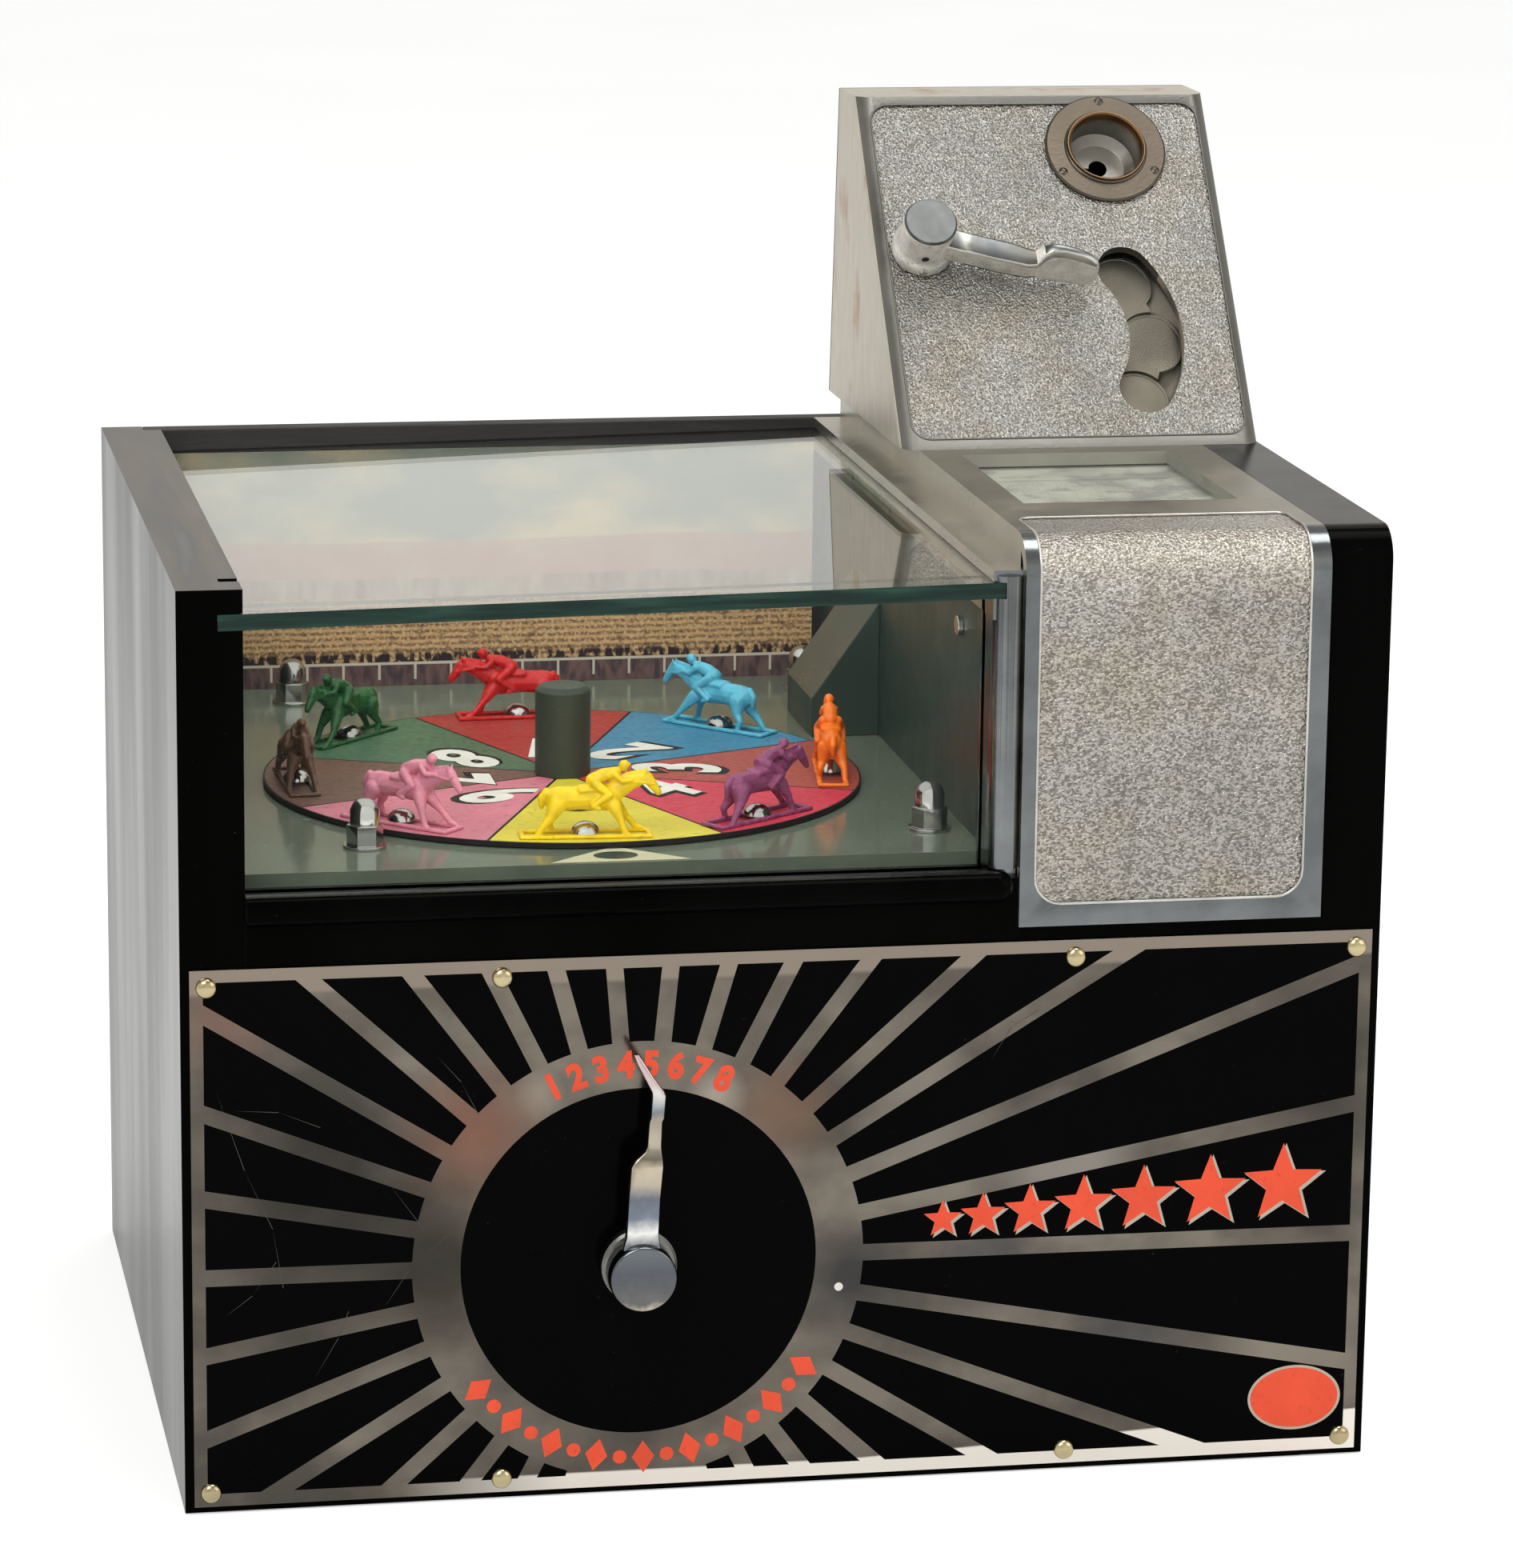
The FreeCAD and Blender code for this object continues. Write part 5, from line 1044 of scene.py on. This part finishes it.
def horses():
    """Eight riders on the disc, each with the dome screw that holds its frame"""
    rider_on_horse = horse_mesh("horse_and_rider")
    dome_head = [(0, -1.2), (1.2, -1.2), (1.2, 1.2), (4.3, 1.2), (4.25, 1.6), (3.9, 2.5), (3.2, 3.3),
                 (2.2, 3.95), (1.1, 4.3), (0, 4.4)]
    for tag, angle, colour in HORSES:
        mesh = rider_on_horse.copy()
        repaint(mesh, tag)
        t = math.radians(angle)
        place = DISC @ at(HORSE_RING * math.cos(t), HORSE_RING * math.sin(t)) @ spun(t + math.pi / 2)
        mesh.transform(place)
        figure = stand("horse_" + tag, mesh, "carousel")
        dome = mesh_piece("frame_screw_" + tag, turned(dome_head, 40), "bright_steel", "carousel", smooth=50,
                          matrix=place)
        if tag == HORSES[0][0]:
            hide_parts("horses")
            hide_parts("horse_screws")


def carousel():
    dress("carousel_disc", "dark_ink", 0.2, "carousel")
    for i in range(len(SECTOR_COLOURS)):
        sector(i)
    dress("centre_post", "post_enamel", 0.3, "carousel")
    paint_nodes("bright_steel", "spindle")
    horses()


def inside_and_back():
    paint_nodes("dark_steel", "coin_box", "coin_down_chute", "chassis_plate")
    paint_nodes("bright_steel", "chassis_pillars", "lever_shaft", "wheel_shaft", "pointer_shaft",
                "pointer_retainer", "lever_crank", "lock_keeper")
    paint_nodes("bronze", "spindle_bearings", "panel_bushes", "pointer_bush")
    dress("hinge_fixed_leaves", "bright_steel", 0.2)
    dress("hinge_moving_leaves", "bright_steel", 0.2, body="door")
    dress("lock_case", "bright_steel", 0.3, body="door")
    dress("lock_cam", "brass_screws", 0.2, body="lock")


# Floor, light and camera
def floor():
    """A pale floor, a little brighter to the eye and in reflections to meet the white ground"""
    p = Paint("floor_paint", (236, 236, 235), 0.9)
    p.done(p.mix(p.span(p.noise(3, 3), 0, 1), (234, 234, 233), (238, 238, 237)))
    rays = p.node("LightPath").outputs
    seen = p.math("MAXIMUM", rays["Is Camera Ray"], rays["Is Transmission Ray"])
    glow = p.node("Emission", Strength=p.plus(p.times(seen, 0.42), p.times(rays["Is Glossy Ray"], 0.2)))
    both = p.node("AddShader")
    p.feed(both.inputs[0], p.shader.outputs["BSDF"])
    p.feed(both.inputs[1], glow.outputs["Emission"])
    p.surface(both.outputs["Shader"])
    bm = bmesh.new()
    bmesh.ops.create_grid(bm, x_segments=1, y_segments=1, size=6)
    mesh = as_mesh("floor", bm)
    mesh.materials.append(p.mat)
    ground = stand("floor", mesh)
    ground.location = (0, 0, -0.4 * MM)


def studio():
    """White to the eye and through glass, soft light on matt faces, and a graded room in reflections"""
    world = bpy.data.worlds.new("studio")
    bpy.context.scene.world = world
    world.use_nodes = True
    world.node_tree.nodes.clear()
    w = Nodes(world.node_tree)
    rays = w.node("LightPath").outputs
    place = w.node("TexCoord").outputs["Generated"]
    height = w.node("SeparateXYZ", Vector=place).outputs["Z"]
    levels = ((0.0, 0.95), (0.42, 0.95), (0.72, 0.5), (1.0, 0.7))
    room = w.ramp(height, *[(up, (level, level * 0.975, level * 0.93, 1)) for up, level in levels])
    patches = w.node("TexNoise", Scale=2.2, Detail=1.0, Vector=place).outputs["Fac"]
    graded = w.node("Background", Color=room, Strength=w.span(patches, 0.75, 1.1, 0.38, 0.62))
    soft = w.node("Background", Color=(1, 1, 1, 1), Strength=0.62)
    white = w.node("Background", Color=(1, 1, 1, 1), Strength=1.0)
    lit = w.blend(rays["Is Glossy Ray"], soft.outputs[0], graded.outputs[0])
    seen = w.math("MAXIMUM", rays["Is Camera Ray"], rays["Is Transmission Ray"])
    w.node("OutputWorld", Surface=w.blend(seen, lit, white.outputs[0]))


LAMP_AIM = Vector((0, 0, 0.2))


def softbox(name, spot, size, power):
    """A square lamp, turned to the object, that isn't seen through the glass"""
    light = bpy.data.lights.new(name, "AREA")
    settle(light, shape="RECTANGLE", size=size, size_y=size, energy=power)
    lamp = stand(name, light)
    lamp.location = spot
    lamp.visible_transmission = False
    lamp.rotation_euler = (LAMP_AIM - Vector(spot)).to_track_quat("-Z", "Y").to_euler()


SENSOR = 36
PHOTO_HEIGHT_PX = 1960
FOCAL_LENGTH_PX = 7269.2
AZIMUTH, ELEVATION, ROLL = math.radians(-10.657), math.radians(13.016), math.radians(0.681)
CAMERA_SPOT = (-0.3137, -1.7495, 0.5922)


def camera():
    """The photo's view, from the camera that was fitted to it"""
    level = math.cos(ELEVATION)
    back = Vector((math.sin(AZIMUTH) * level, -math.cos(AZIMUTH) * level, math.sin(ELEVATION)))
    right = Vector((math.cos(AZIMUTH), math.sin(AZIMUTH), 0))
    up = back.cross(right)
    c, s = math.cos(ROLL), math.sin(ROLL)
    axes = Matrix((right * c + up * s, up * c - right * s, back))
    data = bpy.data.cameras.new("camera")
    data.sensor_width = SENSOR
    data.lens = FOCAL_LENGTH_PX / PHOTO_HEIGHT_PX * SENSOR
    viewer = stand("camera", data)
    viewer.matrix_world = Matrix.Translation(CAMERA_SPOT) @ axes.transposed().to_4x4()
    bpy.context.scene.camera = viewer
    bpy.context.scene.view_settings.view_transform = "Standard"


for build in (cabinet, well, glasses, plate, casting, coin_head, play_lever, pointer, set_screws,
              carousel, inside_and_back, floor, studio):
    build()
softbox("key_light", (-0.9, -1.5, 1.9), 1.1, 26)
softbox("top_light", (0.35, -0.1, 1.9), 0.8, 12)
softbox("fill_light", (1.6, -1.2, 1.2), 1.4, 8)
camera()
